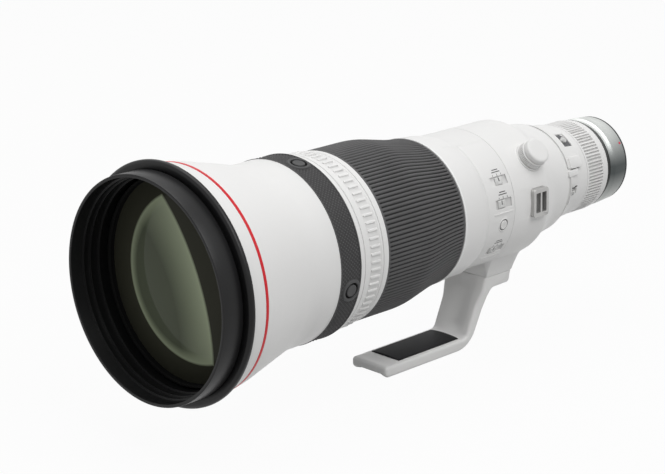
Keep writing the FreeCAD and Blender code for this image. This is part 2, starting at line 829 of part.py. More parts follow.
for number, angle in enumerate(ring_around("button_count", "button_angle"), start=1):
    well = outward("button_station", angle, "drum_inner - drum_wall")
    reach = "band_radius - drum_inner + 2 * drum_wall"
    button_wells.append(cylinder(f"button_well_{number}", "button_radius + running_gap", reach, well))
    band_wells.append(cylinder(f"band_well_{number}", "button_radius + running_gap", reach, well))
    seat = outward("button_station", angle, "button_top - button_length")
    button = cylinder(f"button_{number}", "button_radius", "button_length", seat)
    keep(button, f"function_button_{number}")
place("rod_length", "iris_station + rod_land - tube_step_end")
rod_holes = []
rods = []
for number, angle in enumerate(ring_around("rod_count", "90"), start=1):
    spot = along_axis("tube_step_end", angle, "rod_circle")
    rods.append(cylinder(f"rod_{number}", "rod_radius", "rod_length", spot))
    rod_holes.append(cylinder(f"rod_hole_{number}", "rod_radius + seat_gap", "rod_length + seat_gap", spot))
keep(cut("main_tube", main_tube_turned, button_wells + rod_holes), "main_tube")
keep(cut("grip_band", band_turned, band_wells), "grip_band")
keep(group("guide_rods", rods), "guide_rods")

# Preset ring and focus ring, both turning on the main tube
place("ring_bore", "ring_journal_radius + running_gap")
place("sleeve_bore", "tube_radius + running_gap")
place("rubber_inset", "rubber_thickness + seat_gap")
keep(turned("preset_ring", [
    ("preset_front", "neck_radius"),
    ("preset_front + preset_bevel_length", "preset_waist_radius"),
    ("preset_rear", "preset_rear_radius"),
    ("preset_rear", "ring_bore"),
    ("preset_front", "ring_bore"),
]), "preset_ring")
keep(turned("focus_sleeve", [
    ("focus_front", "preset_rear_radius - rubber_inset"),
    ("focus_hump_end", "focus_hump_radius - rubber_inset"),
    ("focus_slope_end", "focus_waist_radius - rubber_inset"),
    ("focus_rear", "mid_front_radius - rubber_inset"),
    ("focus_rear", "sleeve_bore"),
    ("focus_rear - sleeve_land", "sleeve_bore"),
    ("focus_slope_end", "focus_waist_radius - rubber_inset - sleeve_wall"),
    ("focus_hump_end", "ring_bore"),
    ("focus_front", "ring_bore"),
]), "focus_sleeve")
keep(turned("focus_rubber", [
    ("focus_front", "preset_rear_radius"),
    ("focus_hump_end", "focus_hump_radius"),
    ("focus_slope_end", "focus_waist_radius"),
    ("focus_rear", "mid_front_radius"),
    ("focus_rear", "mid_front_radius - rubber_thickness"),
    ("focus_slope_end", "focus_waist_radius - rubber_thickness"),
    ("focus_hump_end", "focus_hump_radius - rubber_thickness"),
    ("focus_front", "preset_rear_radius - rubber_thickness"),
]), "focus_rubber")

# Mid barrel with the brow in front of the switch panel
place("mid_bore", "tube_radius + seat_gap")
place("mid_slope_end", "mid_front + mid_flat_length + mid_slope_length")
place("panel_floor", "mid_radius - panel_depth")
mid_turned = turned("mid_turned", [
    ("mid_front", "mid_front_radius"),
    ("mid_front + mid_flat_length", "mid_flat_radius", "-mid_curve"),
    ("mid_slope_end", "mid_radius"),
    ("mid_rear", "mid_radius"),
    ("mid_rear", "mid_bore"),
    ("mid_front", "mid_bore"),
])
brow_turned = turned("brow_turned", [
    ("mid_front + mid_flat_length", "mid_flat_radius"),
    ("panel_front - brow_slope_length", "mid_flat_radius"),
    ("panel_front", "mid_radius"),
    ("panel_front", "panel_floor"),
    ("mid_front + mid_flat_length", "panel_floor"),
])
brow = shared("brow", brow_turned, sector("brow_span", "mid_front", "mid_length", "panel_low_angle",
                                          "panel_high_angle", "flange_radius"))
panel_recess = shared(
    "panel_recess",
    tube("panel_recess_turned", "panel_front", "mid_rear + end_play", "panel_floor", "flange_radius"),
    sector("panel_recess_span", "panel_front - end_play", "panel_length + 2 * end_play",
           "panel_low_angle", "panel_high_angle", "flange_radius"))
place("switch_station", "mid_rear - switch_setback")
place("set_button_top", "mid_radius + set_button_proud")
place("set_button_floor", "panel_floor - set_button_well_depth")
set_button_seat, set_button_well = [
    cylinder(name, "set_button_radius + running_gap", "set_button_top - set_button_floor",
             outward("switch_station", "set_button_angle", "set_button_floor"))
    for name in ("set_button_seat", "set_button_well")]
keep(cut("mid_barrel", fused("mid_with_brow", [mid_turned, brow]), [panel_recess, set_button_seat]),
     "mid_barrel")

# Switch panel with its windows, sliders and set button
place("window_floor", "mid_radius - switch_window_depth")
place("panel_edge_angle", "seat_gap / mid_radius * 180 / pi")
panel_shell = shared(
    "panel_shell",
    tube("panel_turned", "panel_front + seat_gap", "mid_rear", "panel_floor + seat_gap", "mid_radius"),
    sector("panel_span", "panel_front", "panel_length", "panel_low_angle + panel_edge_angle",
           "panel_high_angle - panel_edge_angle", "flange_radius"))
switches = [
    ("mode_switch", "mode_switch_angle", "0"),
    ("stabilizer_switch", "stabilizer_switch_angle", "-slider_travel / 2"),
    ("recall_switch", "recall_switch_angle", "-slider_travel / 2"),
]
place("slider_travel", "switch_window_length / 4")
windows = [set_button_well]
for name, angle, shift in switches:
    spot = outward("switch_station", angle, "window_floor")
    windows.append(block(name + "_window", "switch_window_length", "switch_window_width",
                         "panel_depth", spot))
    rest = outward(f"switch_station + {shift}", angle, "window_floor + seat_gap")
    keep(block(name, "slider_length", "slider_width", "slider_height", rest), name)
keep(cut("switch_panel", panel_shell, windows), "switch_panel")
keep(cylinder("set_button", "set_button_radius", "set_button_length",
              outward("switch_station", "set_button_angle", "set_button_top - set_button_length")),
     "set_button")

# Journal tube, liner and tripod collar
place("journal_end", "mid_rear + journal_length")
place("journal_inner", "journal_radius - journal_wall")
place("journal_tail_end", "collar_rear + journal_tail_length")
place("journal_tail_inner", "journal_tail_radius - journal_wall")
place("liner_inner", "journal_radius + running_gap")
place("liner_outer", "liner_inner + liner_thickness")
place("liner_front", "collar_front + liner_inset")
place("liner_rear", "liner_front + liner_length")
keep(turned("journal_tube", [
    ("tube_end - journal_spigot_length", "tube_inner - seat_gap"),
    ("tube_end", "tube_inner - seat_gap"),
    ("tube_end", "tube_radius"),
    ("mid_rear", "tube_radius"),
    ("mid_rear", "journal_radius"),
    ("journal_end", "journal_radius"),
    ("collar_rear", "journal_tail_radius"),
    ("journal_tail_end", "journal_tail_radius"),
    ("journal_tail_end", "journal_tail_inner"),
    ("collar_rear", "journal_tail_inner"),
    ("journal_end", "journal_inner"),
    ("tube_end - journal_spigot_length", "journal_inner"),
]), "journal_tube")
place("knob_station", "collar_front + knob_setback")
place("knob_boss_top", "mid_radius + knob_boss_proud")
place("knob_base", "knob_boss_top + end_play")
place("stem_length", "knob_base - journal_radius - knob_stem_gap")
place("stem_reach", "knob_base - liner_inner + 2 * liner_thickness")
stem_spot = outward("knob_station", "knob_angle", "liner_inner - liner_thickness")
liner_turned = tube("liner_turned", "liner_front", "liner_rear", "liner_inner", "liner_outer")
liner_hole = cylinder("liner_hole", "knob_stem_radius + end_play", "stem_reach", stem_spot)
keep(cut("collar_liner", liner_turned, [liner_hole]), "collar_liner")
collar_turned = turned("collar_turned", [
    ("collar_front", "mid_radius"),
    ("collar_flat_end", "mid_radius", "-collar_shoulder_curve"),
    ("collar_cone_front", "collar_shoulder_radius"),
    ("collar_cone_end", "collar_cone_radius", "collar_sweep_curve"),
    ("collar_sweep_end", "collar_sweep_radius"),
    ("collar_rear", "collar_rear_radius"),
    ("collar_rear", "journal_tail_radius + collar_gap"),
    ("journal_end", "journal_radius + collar_gap"),
    ("liner_rear + seat_gap", "journal_radius + collar_gap"),
    ("liner_rear + seat_gap", "liner_outer + seat_gap"),
    ("collar_front", "liner_outer + seat_gap"),
])
place("boss_station", "collar_front + boss_setback")
place("boss_middle", "boss_station + boss_length / 2")
place("boss_root", "foot_seat_depth - liner_outer - seat_gap - boss_inset")
boss = block("foot_boss", "boss_width", "boss_length", "boss_root",
             downward("boss_middle", "0", "foot_seat_depth - boss_root"))
knob_boss = cylinder("knob_boss", "knob_boss_radius", "knob_boss_height",
                     outward("knob_station", "knob_angle", "knob_boss_top - knob_boss_height"))
stem_hole = cylinder("stem_hole", "knob_stem_radius + running_gap", "stem_reach", stem_spot)
place("lug_station", "collar_front + lug_setback")
place("lug_top", "mid_radius + lug_proud")
place("lug_base", "lug_top - lug_thickness")
place("lug_tunnel_height", "lug_thickness - lug_floor - lug_bar_thickness")
place("lug_slot_offset", "(lug_slot_length + lug_bar_length) / 2")

lug_pockets = []
for side, angle in (("left", "lug_angle"), ("right", "180 - lug_angle")):
    spot = outward("lug_station", angle, "lug_base")
    lug = rounded_block(f"lug_plate_{side}", "lug_length", "lug_width", "lug_thickness",
                        "lug_corner", spot)
    floor = outward("lug_station", angle, "lug_base + lug_floor")
    openings = [block(f"lug_tunnel_{side}", "2 * lug_slot_offset + lug_slot_length", "lug_slot_width",
                      "lug_tunnel_height", floor)]
    for end, sign in (("front", "-"), ("rear", "+")):
        slot = outward(f"lug_station {sign} lug_slot_offset", angle, "lug_base + lug_floor")
        openings.append(block(f"lug_slot_{side}_{end}", "lug_slot_length", "lug_slot_width",
                              "lug_thickness", slot))
    keep(cut(f"strap_lug_{side}", lug, openings), f"strap_lug_{side}")
    pocket = outward("lug_station", angle, "lug_base - seat_gap")
    lug_pockets.append(rounded_block(f"lug_pocket_{side}", "lug_length + 2 * seat_gap",
                                     "lug_width + 2 * seat_gap", "2 * lug_thickness",
                                     "lug_corner + seat_gap", pocket))
place("foot_screw_station", "boss_station + foot_screw_setback")
place("screw_head_base", "foot_seat_depth + foot_block_height - foot_screw_head_recess")
place("screw_seat", "screw_head_base - foot_screw_head_height")
screw_spots = []
for x_sign in ("-", ""):
    for y_sign in ("-", "+"):
        screw_spots.append((f"{x_sign}foot_screw_spacing_x / 2",
                            f"foot_screw_station {y_sign} foot_screw_spacing_y / 2"))
boss_holes = []
foot_holes = []
foot_screws = []
for number, (x, station) in enumerate(screw_spots, start=1):
    tip = downward(station, x, "screw_seat - foot_screw_length")
    hole_tip = downward(station, x, "screw_seat - foot_screw_length - seat_gap")
    shank = "foot_screw_length + seat_gap"
    boss_holes.append(cylinder(f"boss_hole_{number}", "foot_screw_radius + seat_gap", shank, hole_tip))
    foot_holes.append(cylinder(f"foot_hole_{number}", "foot_screw_radius + seat_gap", shank, hole_tip))
    seat = downward(station, x, "screw_seat")
    foot_holes.append(cylinder(f"counterbore_{number}", "foot_screw_head_radius + seat_gap",
                               "foot_screw_head_height + foot_block_height", seat))
    foot_screws.append(fused(f"foot_screw_{number}", [
        cylinder(f"foot_shank_{number}", "foot_screw_radius", "foot_screw_length", tip),
        cylinder(f"foot_head_{number}", "foot_screw_head_radius", "foot_screw_head_height", seat),
    ]))
keep(cut("tripod_collar", fused("collar_with_bosses", [collar_turned, boss, knob_boss]),
         [stem_hole] + lug_pockets + boss_holes), "tripod_collar")
keep(group("foot_screws", foot_screws), "foot_screws")

# Foot: plate, leaning stalk and the block under the collar
place("plate_station", "boss_station - plate_reach")
place("plate_top", "foot_bottom_depth - plate_thickness")
place("plate_rear", "plate_station + plate_length")
place("stalk_root", "plate_rear - stalk_inset")
place("knee_station", "boss_station - stalk_knee_length")
place("knee_depth", "foot_seat_depth + stalk_knee_height")
place("boss_rear", "boss_station + boss_length")
place("block_bottom", "foot_seat_depth + foot_block_height")

plate = body_on_axis("foot_plate_body")
padded(plate, "foot_plate", [
    ("plate_station + plate_bevel", "-foot_bottom_depth"),
    ("plate_station", "-foot_bottom_depth + plate_bevel"),
    ("plate_station", "-plate_top - plate_bevel"),
    ("plate_station + plate_bevel", "-plate_top"),
    ("stalk_root", "-plate_top"),
    ("plate_rear", "-foot_bottom_depth"),
], "foot_width")
foot_blocks = []
for name in ("foot_block_body", "foot_block_bed"):
    foot_blocks.append(body_on_axis(name))
    padded(foot_blocks[-1], name + "_pad", [
        ("boss_station", "-foot_seat_depth"),
        ("boss_rear", "-foot_seat_depth"),
        ("boss_rear", "-block_bottom + foot_block_bevel"),
        ("boss_rear - foot_block_bevel", "-block_bottom"),
        ("knee_station + stalk_thickness / 2", "-block_bottom"),
    ], "boss_width")
stalk = body_on_axis("foot_stalk_body")
padded(stalk, "stalk_pad", [
    ("stalk_root", "-plate_top"),
    ("knee_station", "-knee_depth"),
    ("boss_station", "-foot_seat_depth"),
    ("boss_station + stalk_thickness", "-foot_seat_depth"),
    ("knee_station + stalk_thickness", "-knee_depth"),
    ("stalk_root + stalk_thickness", "-foot_bottom_depth + heel_height"),
    ("plate_rear", "-foot_bottom_depth"),
], "foot_width")
doc.recompute()
stalk_volume = stalk.Shape.Volume
scoop_outline = outline(stalk, "YZ_Plane", "scoop_outline", [
    ("stalk_root - stalk_scoop_depth", "-plate_top + seat_gap"),
    ("knee_station - stalk_scoop_depth", "-knee_depth"),
    ("boss_station - stalk_scoop_depth", "-foot_seat_depth - end_play"),
    ("boss_station + end_play", "-foot_seat_depth - end_play"),
    ("knee_station + stalk_scoop_depth", "-knee_depth"),
    ("stalk_root + stalk_scoop_depth", "-plate_top + seat_gap"),
])
scoop = stalk.newObject("PartDesign::Pocket", "stalk_scoop")
scoop.Profile = scoop_outline
scoop.SideType = "Symmetric"
scoop.setExpression("Length", formula("stalk_scoop_width"))
doc.recompute()
assert stalk.Shape.Volume < stalk_volume, "the scoop cuts nothing"
keep(cut("foot_stalk", stalk, [foot_blocks[1]]), "foot_stalk")
keep(cut("foot_block", foot_blocks[0], foot_holes), "foot_block")
place("lip_scoop_depth_axis", "foot_bottom_depth + lip_scoop_radius - lip_scoop_depth")
lip_scoop = cylinder("lip_scoop", "lip_scoop_radius", "lip_scoop_length + plate_bevel",
                     along_axis("plate_station - plate_bevel"))
lip_scoop.Placement.Base.z = -read("lip_scoop_depth_axis")
place("pad_station", "plate_station + pad_setback")
place("pad_middle", "pad_station + pad_length / 2")
place("pad_floor", "plate_top + pad_recess")
pad_bed = block("pad_bed", "pad_width + 2 * seat_gap", "pad_length + 2 * seat_gap", "plate_thickness",
                downward("pad_middle", "0", "pad_floor - plate_thickness"))
socket_bores = []
sockets = []
for name in ("large_socket", "small_socket"):
    spot = downward(f"plate_station + {name}_setback", "0", "foot_bottom_depth - socket_length")
    socket_bores.append(cylinder(name + "_seat", "socket_outer_radius + seat_gap",
                                 "2 * socket_length", spot))
    sockets.append(cut(name, cylinder(name + "_outside", "socket_outer_radius", "socket_length", spot),
                       [cylinder(name + "_bore", name + "_radius", "2 * socket_length", spot)]))
keep(cut("tripod_foot", plate, [lip_scoop, pad_bed] + socket_bores), "tripod_foot")
keep(group("tripod_sockets", sockets), "tripod_sockets")
pad_body = body_on_axis("pad_body")
place("pad_curve", "((pad_width / 2)^2 + pad_crown^2) / (2 * pad_crown)")
pad_outline = outline(pad_body, "XZ_Plane", "pad_outline", [
    ("-pad_width / 2", "-pad_floor + seat_gap"),
    ("pad_width / 2", "-pad_floor + seat_gap"),
    ("pad_width / 2", "-pad_floor + pad_side_height", "pad_curve"),
    ("-pad_width / 2", "-pad_floor + pad_side_height"),
])
pad_outline.setExpression("AttachmentOffset.Base.z", formula("-pad_station"))
rubber_pad = pad_body.newObject("PartDesign::Pad", "rubber_pad")
rubber_pad.Profile = pad_outline
rubber_pad.Reversed = True
rubber_pad.setExpression("Length", formula("pad_length"))
keep(pad_body, "foot_pad")

# Lock knob, clamping the collar to its journal
place("knob_top", "knob_skirt_height + knob_cap_height")
keep(turned_outwards("lock_knob", [
    ("0", "-stem_length"),
    ("knob_stem_radius", "-stem_length"),
    ("knob_stem_radius", "0"),
    ("knob_skirt_radius - knob_edge", "0"),
    ("knob_skirt_radius", "knob_edge"),
    ("knob_skirt_radius", "knob_skirt_height - knob_edge / 2"),
    ("knob_skirt_radius - knob_edge / 2", "knob_skirt_height"),
    ("knob_cap_radius", "knob_skirt_height"),
    ("knob_cap_radius", "knob_top - knob_edge", "knob_edge"),
    ("knob_cap_radius - knob_edge", "knob_top"),
    ("0", "knob_top"),
], outward("knob_station", "knob_angle", "knob_base")), "lock_knob")

# Rear barrel with the filter chamber
place("filter_station", "rear_front + filter_setback")
place("chamber_front", "filter_station - holder_thickness / 2 - end_play")
place("chamber_rear", "filter_station + holder_thickness / 2 + end_play")
place("rear_bore", "rear_tail_radius - rear_tail_wall")
place("web_radius", "filter_radius + filter_lip")
place("journal_seat", "journal_tail_radius + seat_gap")
place("cover_end", "cover_front + cover_margin + cover_length")
rear_turned = turned("rear_turned", [
    ("rear_front", "rear_groove_radius"),
    ("cover_front", "rear_groove_radius"),
    ("cover_front", "rear_front_radius", "rear_curve"),
    ("cover_front + rear_arc_length", "rear_arc_radius"),
    ("rear_end", "rear_radius"),
    ("rear_end", "rear_tail_radius"),
    ("trim_rear", "rear_tail_radius"),
    ("trim_rear", "rear_bore"),
    ("chamber_rear + filter_wall", "rear_bore"),
    ("chamber_rear + filter_wall", "web_radius"),
    ("chamber_rear", "web_radius"),
    ("chamber_rear", "rear_bore"),
    ("chamber_front", "rear_bore"),
    ("chamber_front", "web_radius"),
    ("journal_tail_end", "web_radius"),
    ("journal_tail_end", "journal_seat"),
    ("rear_front", "journal_seat"),
])
place("cover_low_angle", "filter_angle - cover_span / 2")
place("cover_high_angle", "filter_angle + cover_span / 2")
place("cover_gap_angle", "end_play / rear_radius * 180 / pi")
place("rear_panel_high_angle", "cover_low_angle - rear_panel_gap_angle")
cover_recess = shared(
    "cover_recess",
    turned("cover_recess_turned", [
        ("cover_front", "flange_radius"),
        ("cover_end + cover_margin", "flange_radius"),
        ("cover_end + cover_margin", "cover_rear_radius - cover_depth - seat_gap", "-cover_curve"),
        ("cover_front", "cover_front_radius - cover_depth - seat_gap"),
    ]),
    sector("cover_recess_span", "rear_front", "rear_length", "cover_low_angle - cover_gap_angle",
           "cover_high_angle + cover_gap_angle", "flange_radius"))
holder_slot = block("holder_slot", "holder_thickness + 2 * end_play",
                    "2 * holder_radius + 2 * running_gap", "flange_radius",
                    outward("filter_station", "filter_angle", "0"))
place("focus_mode_station", "cover_front + focus_mode_setback")
place("focus_mode_rise", "(rear_arc_radius - rear_front_radius) * focus_mode_setback / rear_arc_length")
place("focus_mode_floor", "rear_front_radius + focus_mode_rise - focus_mode_depth")
window_spot = outward("focus_mode_station", "focus_mode_angle", "focus_mode_floor")
window_spot = window_spot.multiply(
    FreeCAD.Placement(FreeCAD.Vector(), FreeCAD.Rotation(FreeCAD.Vector(0, 1, 0), read("focus_mode_tilt"))))
rear_window, panel_window = [
    block(name, "focus_mode_window_length", "focus_mode_window_width", "rear_wall", window_spot)
    for name in ("rear_window", "rear_panel_window")]
keep(cut("rear_barrel", rear_turned, [cover_recess, holder_slot, rear_window]), "rear_barrel")

# Drop-in filter holder with its cover, glass and latch
holder_disc = cylinder("holder_disc", "holder_radius", "holder_thickness",
                       along_axis("filter_station - holder_thickness / 2"))
place("holder_reach", "(cover_front_radius + cover_rear_radius) / 2 - cover_depth + seat_gap")
holder_column = shared(
    "holder_column",
    block("holder_block", "holder_thickness", "2 * holder_radius", "flange_radius",
          outward("filter_station", "filter_angle", "0")),
    cylinder("holder_round", "holder_reach", "holder_thickness",
             along_axis("filter_station - holder_thickness / 2")))
cover = shared(
    "cover",
    turned("cover_turned", [
        ("cover_front + cover_margin", "cover_front_radius", "cover_curve"),
        ("cover_end", "cover_rear_radius"),
        ("cover_end", "cover_rear_radius - cover_depth", "-cover_curve"),
        ("cover_front + cover_margin", "cover_front_radius - cover_depth"),
    ]),
    sector("cover_span_sector", "rear_front", "rear_length", "cover_low_angle", "cover_high_angle",
           "flange_radius"))
filter_bore = cylinder("filter_bore", "filter_radius - filter_lip", "2 * holder_thickness",
                       along_axis("filter_station - holder_thickness"))
filter_pocket = cylinder("filter_pocket", "filter_radius + seat_gap", "holder_thickness",
                         along_axis("filter_station - holder_thickness"))
place("latch_station", "filter_station + latch_setback")
place("latch_angle", "filter_angle + latch_offset_angle")
place("latch_reach", "latch_station - cover_front - cover_margin")
place("latch_rise", "(cover_rear_radius - cover_front_radius) * latch_reach / cover_length")
place("latch_floor", "cover_front_radius + latch_rise - latch_depth")
latch_spot = outward("latch_station", "latch_angle", "latch_floor")
latch_recess = block("latch_recess", "latch_recess_length", "latch_recess_width", "holder_thickness",
                     latch_spot)
latch_hole = cylinder("latch_hole", "latch_stem_radius + running_gap", "latch_stem_length + end_play",
                      outward("latch_station", "latch_angle",
                              "latch_floor - latch_stem_length - end_play"))
keep(cut("filter_holder", fused("holder_whole", [holder_disc, holder_column, cover]),
         [filter_bore, filter_pocket, latch_recess, latch_hole]), "filter_holder")
keep(cylinder("filter_glass", "filter_radius", "filter_thickness",
              along_axis("filter_station - filter_thickness")), "filter_glass")
keep(turned_outwards("filter_latch", [
    ("0", "-latch_stem_length"),
    ("latch_stem_radius", "-latch_stem_length"),
    ("latch_stem_radius", "seat_gap"),
    ("latch_radius", "seat_gap"),
    ("latch_radius", "latch_height"),
    ("0", "latch_height"),
], latch_spot), "filter_latch")

# Rear panel and the focus mode switch
rear_panel_shell = shared(
    "rear_panel_shell",
    turned("rear_panel_turned", [
        ("cover_front", "rear_front_radius + seat_gap", "rear_curve"),
        ("cover_front + rear_arc_length", "rear_arc_radius + seat_gap"),
        ("cover_front + rear_arc_length", "rear_arc_radius + rear_panel_height", "-rear_curve"),
        ("cover_front", "rear_front_radius + rear_panel_height"),
    ]),
    sector("rear_panel_span", "cover_front + rear_panel_margin", "rear_panel_length",
           "rear_panel_low_angle", "rear_panel_high_angle", "flange_radius"))
keep(cut("rear_panel", rear_panel_shell, [panel_window]), "rear_panel")
slider_spot = window_spot.multiply(
    FreeCAD.Placement(FreeCAD.Vector(-read("focus_mode_travel / 2"), 0, read("seat_gap")),
                      FreeCAD.Rotation()))
keep(block("focus_mode_slider", "focus_mode_slider_length", "focus_mode_slider_width",
           "focus_mode_slider_height", slider_spot), "focus_mode_switch")

# Control ring, white trim and metal mount sleeve
keep(tube("control_ring", "control_front", "control_rear", "rear_tail_radius + running_gap",
          "control_radius"), "control_ring")
keep(tube("rear_trim", "trim_front", "trim_rear", "rear_tail_radius + seat_gap", "trim_radius"),
     "rear_trim")
place("waist_station", "trim_rear + mount_sleeve_lip + waist_length")
place("web_rear", "sleeve_rear - bayonet_thickness + bayonet_proud")
place("web_front", "web_rear - mount_web_length")
mount_sleeve_turned = turned("mount_sleeve_turned", [
    ("trim_rear", "mount_sleeve_front_radius"),
    ("trim_rear + mount_sleeve_lip", "mount_sleeve_front_radius", "waist_curve"),
    ("waist_station", "waist_radius", "waist_curve"),
    ("waist_station + waist_rise_length", "mount_sleeve_radius"),
    ("sleeve_rear", "mount_sleeve_rear_radius"),
    ("sleeve_rear", "bayonet_radius + seat_gap"),
    ("web_rear", "bayonet_radius + seat_gap"),
    ("web_rear", "mount_web_radius"),
    ("web_front", "mount_web_radius"),
    ("web_front", "waist_radius - mount_sleeve_wall"),
    ("trim_rear", "waist_radius - mount_sleeve_wall"),
])

# Bayonet with its lugs, screws and contacts
place("spigot_inner", "spigot_radius - spigot_wall")
place("spigot_rear", "mount_face + spigot_length")
bayonet_turned = turned("bayonet_turned", [
    ("web_rear", "bayonet_radius"),
    ("mount_face", "bayonet_radius"),
    ("mount_face", "bayonet_face_radius"),
    ("mount_face - bayonet_relief", "bayonet_face_radius"),
    ("mount_face - bayonet_relief", "spigot_radius"),
    ("spigot_rear", "spigot_radius"),
    ("spigot_rear", "spigot_inner"),
    ("web_rear", "spigot_inner"),
])
bayonet_lugs = []
for number, angle in enumerate(ring_around("bayonet_lug_count", "90"), start=1):
    wedge = sector(f"bayonet_wedge_{number}", "mount_face + bayonet_lug_gap", "bayonet_lug_thickness",
                   f"{angle} - bayonet_lug_span / 2", f"{angle} + bayonet_lug_span / 2",
                   "bayonet_lug_radius")
    core = cylinder(f"bayonet_core_{number}", "spigot_radius - spigot_wall / 2", "spigot_length",
                    along_axis("mount_face"))
    bayonet_lugs.append(cut(f"bayonet_lug_{number}", wedge, [core]))
place("mount_head_rear", "mount_face - mount_screw_recess")
place("mount_head_front", "mount_head_rear - mount_screw_head_height")
plate_holes = []
sleeve_holes = []
mount_screws = []
for number, angle in enumerate(ring_around("mount_screw_count", "mount_screw_angle"), start=1):
    tip = along_axis("mount_head_front - mount_screw_length", angle, "mount_screw_circle")
    deep = along_axis("mount_head_front - mount_screw_length - seat_gap", angle, "mount_screw_circle")
    seat = along_axis("mount_head_front", angle, "mount_screw_circle")
    for holes, name in ((plate_holes, "plate_hole"), (sleeve_holes, "sleeve_hole")):
        holes.append(cylinder(f"{name}_{number}", "mount_screw_radius + seat_gap",
                              "mount_screw_length + seat_gap", deep))
    plate_holes.append(cylinder(f"plate_counterbore_{number}", "mount_screw_head_radius + seat_gap",
                                "bayonet_thickness", seat))
    mount_screws.append(fused(f"mount_screw_{number}", [
        cylinder(f"mount_shank_{number}", "mount_screw_radius", "mount_screw_length", tip),
        cylinder(f"mount_head_{number}", "mount_screw_head_radius", "mount_screw_head_height", seat),
    ]))
keep(cut("mount_sleeve", mount_sleeve_turned, sleeve_holes), "mount_sleeve")
keep(cut("bayonet", fused("bayonet_whole", [bayonet_turned] + bayonet_lugs), plate_holes), "bayonet")
keep(group("mount_screws", mount_screws), "mount_screws")
keep(tube("mount_gasket", "sleeve_rear", "sleeve_rear + gasket_height", "bayonet_radius + seat_gap",
          "mount_sleeve_rear_radius"), "mount_gasket")
place("contact_rear", "spigot_rear - contact_setback")
place("contact_front", "contact_rear - contact_length")
place("contact_circle", "(contact_outer_radius + contact_inner_radius) / 2")
contact_wedge = sector("contact_wedge", "contact_front", "contact_length",
                       "contact_centre_angle - contact_span / 2",
                       "contact_centre_angle + contact_span / 2", "contact_outer_radius")
contact_core = cylinder("contact_core", "contact_inner_radius", "2 * contact_length",
                        along_axis("contact_front - contact_length / 2"))
place("pin_front", "contact_rear + contact_pin_proud - contact_pin_length")
place("first_pin_angle", "contact_centre_angle - (contact_count - 1) / 2 * contact_pitch_angle")
pins = []
pin_holes = []
for index in range(round(read("contact_count"))):
    spot = along_axis("pin_front", f"first_pin_angle + {index} * contact_pitch_angle", "contact_circle")
    pins.append(cylinder(f"pin_{index + 1}", "contact_pin_radius", "contact_pin_length", spot))
    pin_holes.append(cylinder(f"pin_hole_{index + 1}", "contact_pin_radius + seat_gap",
                              "contact_pin_length", spot))
keep(cut("contact_block", contact_wedge, [contact_core] + pin_holes), "contact_block")
keep(group("contact_pins", pins), "contact_pins")

# Second lens group in the front of the main tube
place("second_cell_station", "band_rear + second_cell_setback")
place("second_glass_radius", "ring_journal_inner - second_cell_wall")
place("second_edge", "second_cell_station + second_cell_length - cell_lip_length - end_play - seat_gap"
      " - " + crown("second_glass_curve", "second_glass_radius", "second_glass_radius - cell_lip"))
place("second_lip", cell_lip("second_edge", "second_glass_radius", "second_glass_curve"))
place("second_rear", "second_cell_station + second_cell_length")
keep(turned("second_cell", [
    ("second_cell_station", "ring_journal_inner - seat_gap"),
    ("second_rear", "ring_journal_inner - seat_gap"),
    ("second_rear", "second_glass_radius - cell_lip"),
    ("second_lip", "second_glass_radius - cell_lip"),
    ("second_lip", "second_glass_radius + seat_gap"),
    ("second_cell_station", "second_glass_radius + seat_gap"),
]), "second_cell")
keep(lens_glass("second_element", "second_edge - second_glass_edge", "second_edge",
                "second_glass_radius", "second_glass_curve", "second_glass_curve"), "second_element")

# Focus group sliding on the guide rods, and the ring that drives it
place("focus_cell_station", "tube_step_end + tube_web_length + focus_cell_setback")
place("focus_cell_rear", "focus_cell_station + focus_cell_length")
place("focus_edge", "focus_cell_rear - cell_lip_length - end_play - seat_gap"
      " - " + crown("focus_glass_curve", "focus_glass_radius", "focus_glass_radius - cell_lip"))
place("focus_lip", cell_lip("focus_edge", "focus_glass_radius", "focus_glass_curve"))
focus_cell_turned = turned("focus_cell_turned", [
    ("focus_cell_station", "tube_inner - focus_cell_clearance"),
    ("focus_cell_rear", "tube_inner - focus_cell_clearance"),
    ("focus_cell_rear", "focus_glass_radius - cell_lip"),
    ("focus_lip", "focus_glass_radius - cell_lip"),
    ("focus_lip", "focus_glass_radius + seat_gap"),
    ("focus_cell_station", "focus_glass_radius + seat_gap"),
])
bushes = [
    cylinder(f"bush_{number}", "rod_radius + running_gap", "2 * focus_cell_length",
             along_axis("focus_cell_station - focus_cell_length / 2", angle, "rod_circle"))
    for number, angle in enumerate(ring_around("rod_count", "90"), start=1)]
keep(cut("focus_cell", focus_cell_turned, bushes), "focus_cell")
keep(lens_glass("focus_element", "focus_edge - focus_glass_edge", "focus_edge", "focus_glass_radius",
                "focus_glass_curve", "focus_glass_curve"), "focus_element")
place("drive_ring_station", "mid_front + drive_ring_setback")
place("drive_outer", "tube_inner - running_gap")
keep(tube("focus_drive_ring", "drive_ring_station", "drive_ring_station + drive_ring_length",
          "drive_outer - drive_ring_wall", "drive_outer"), "focus_drive_ring")

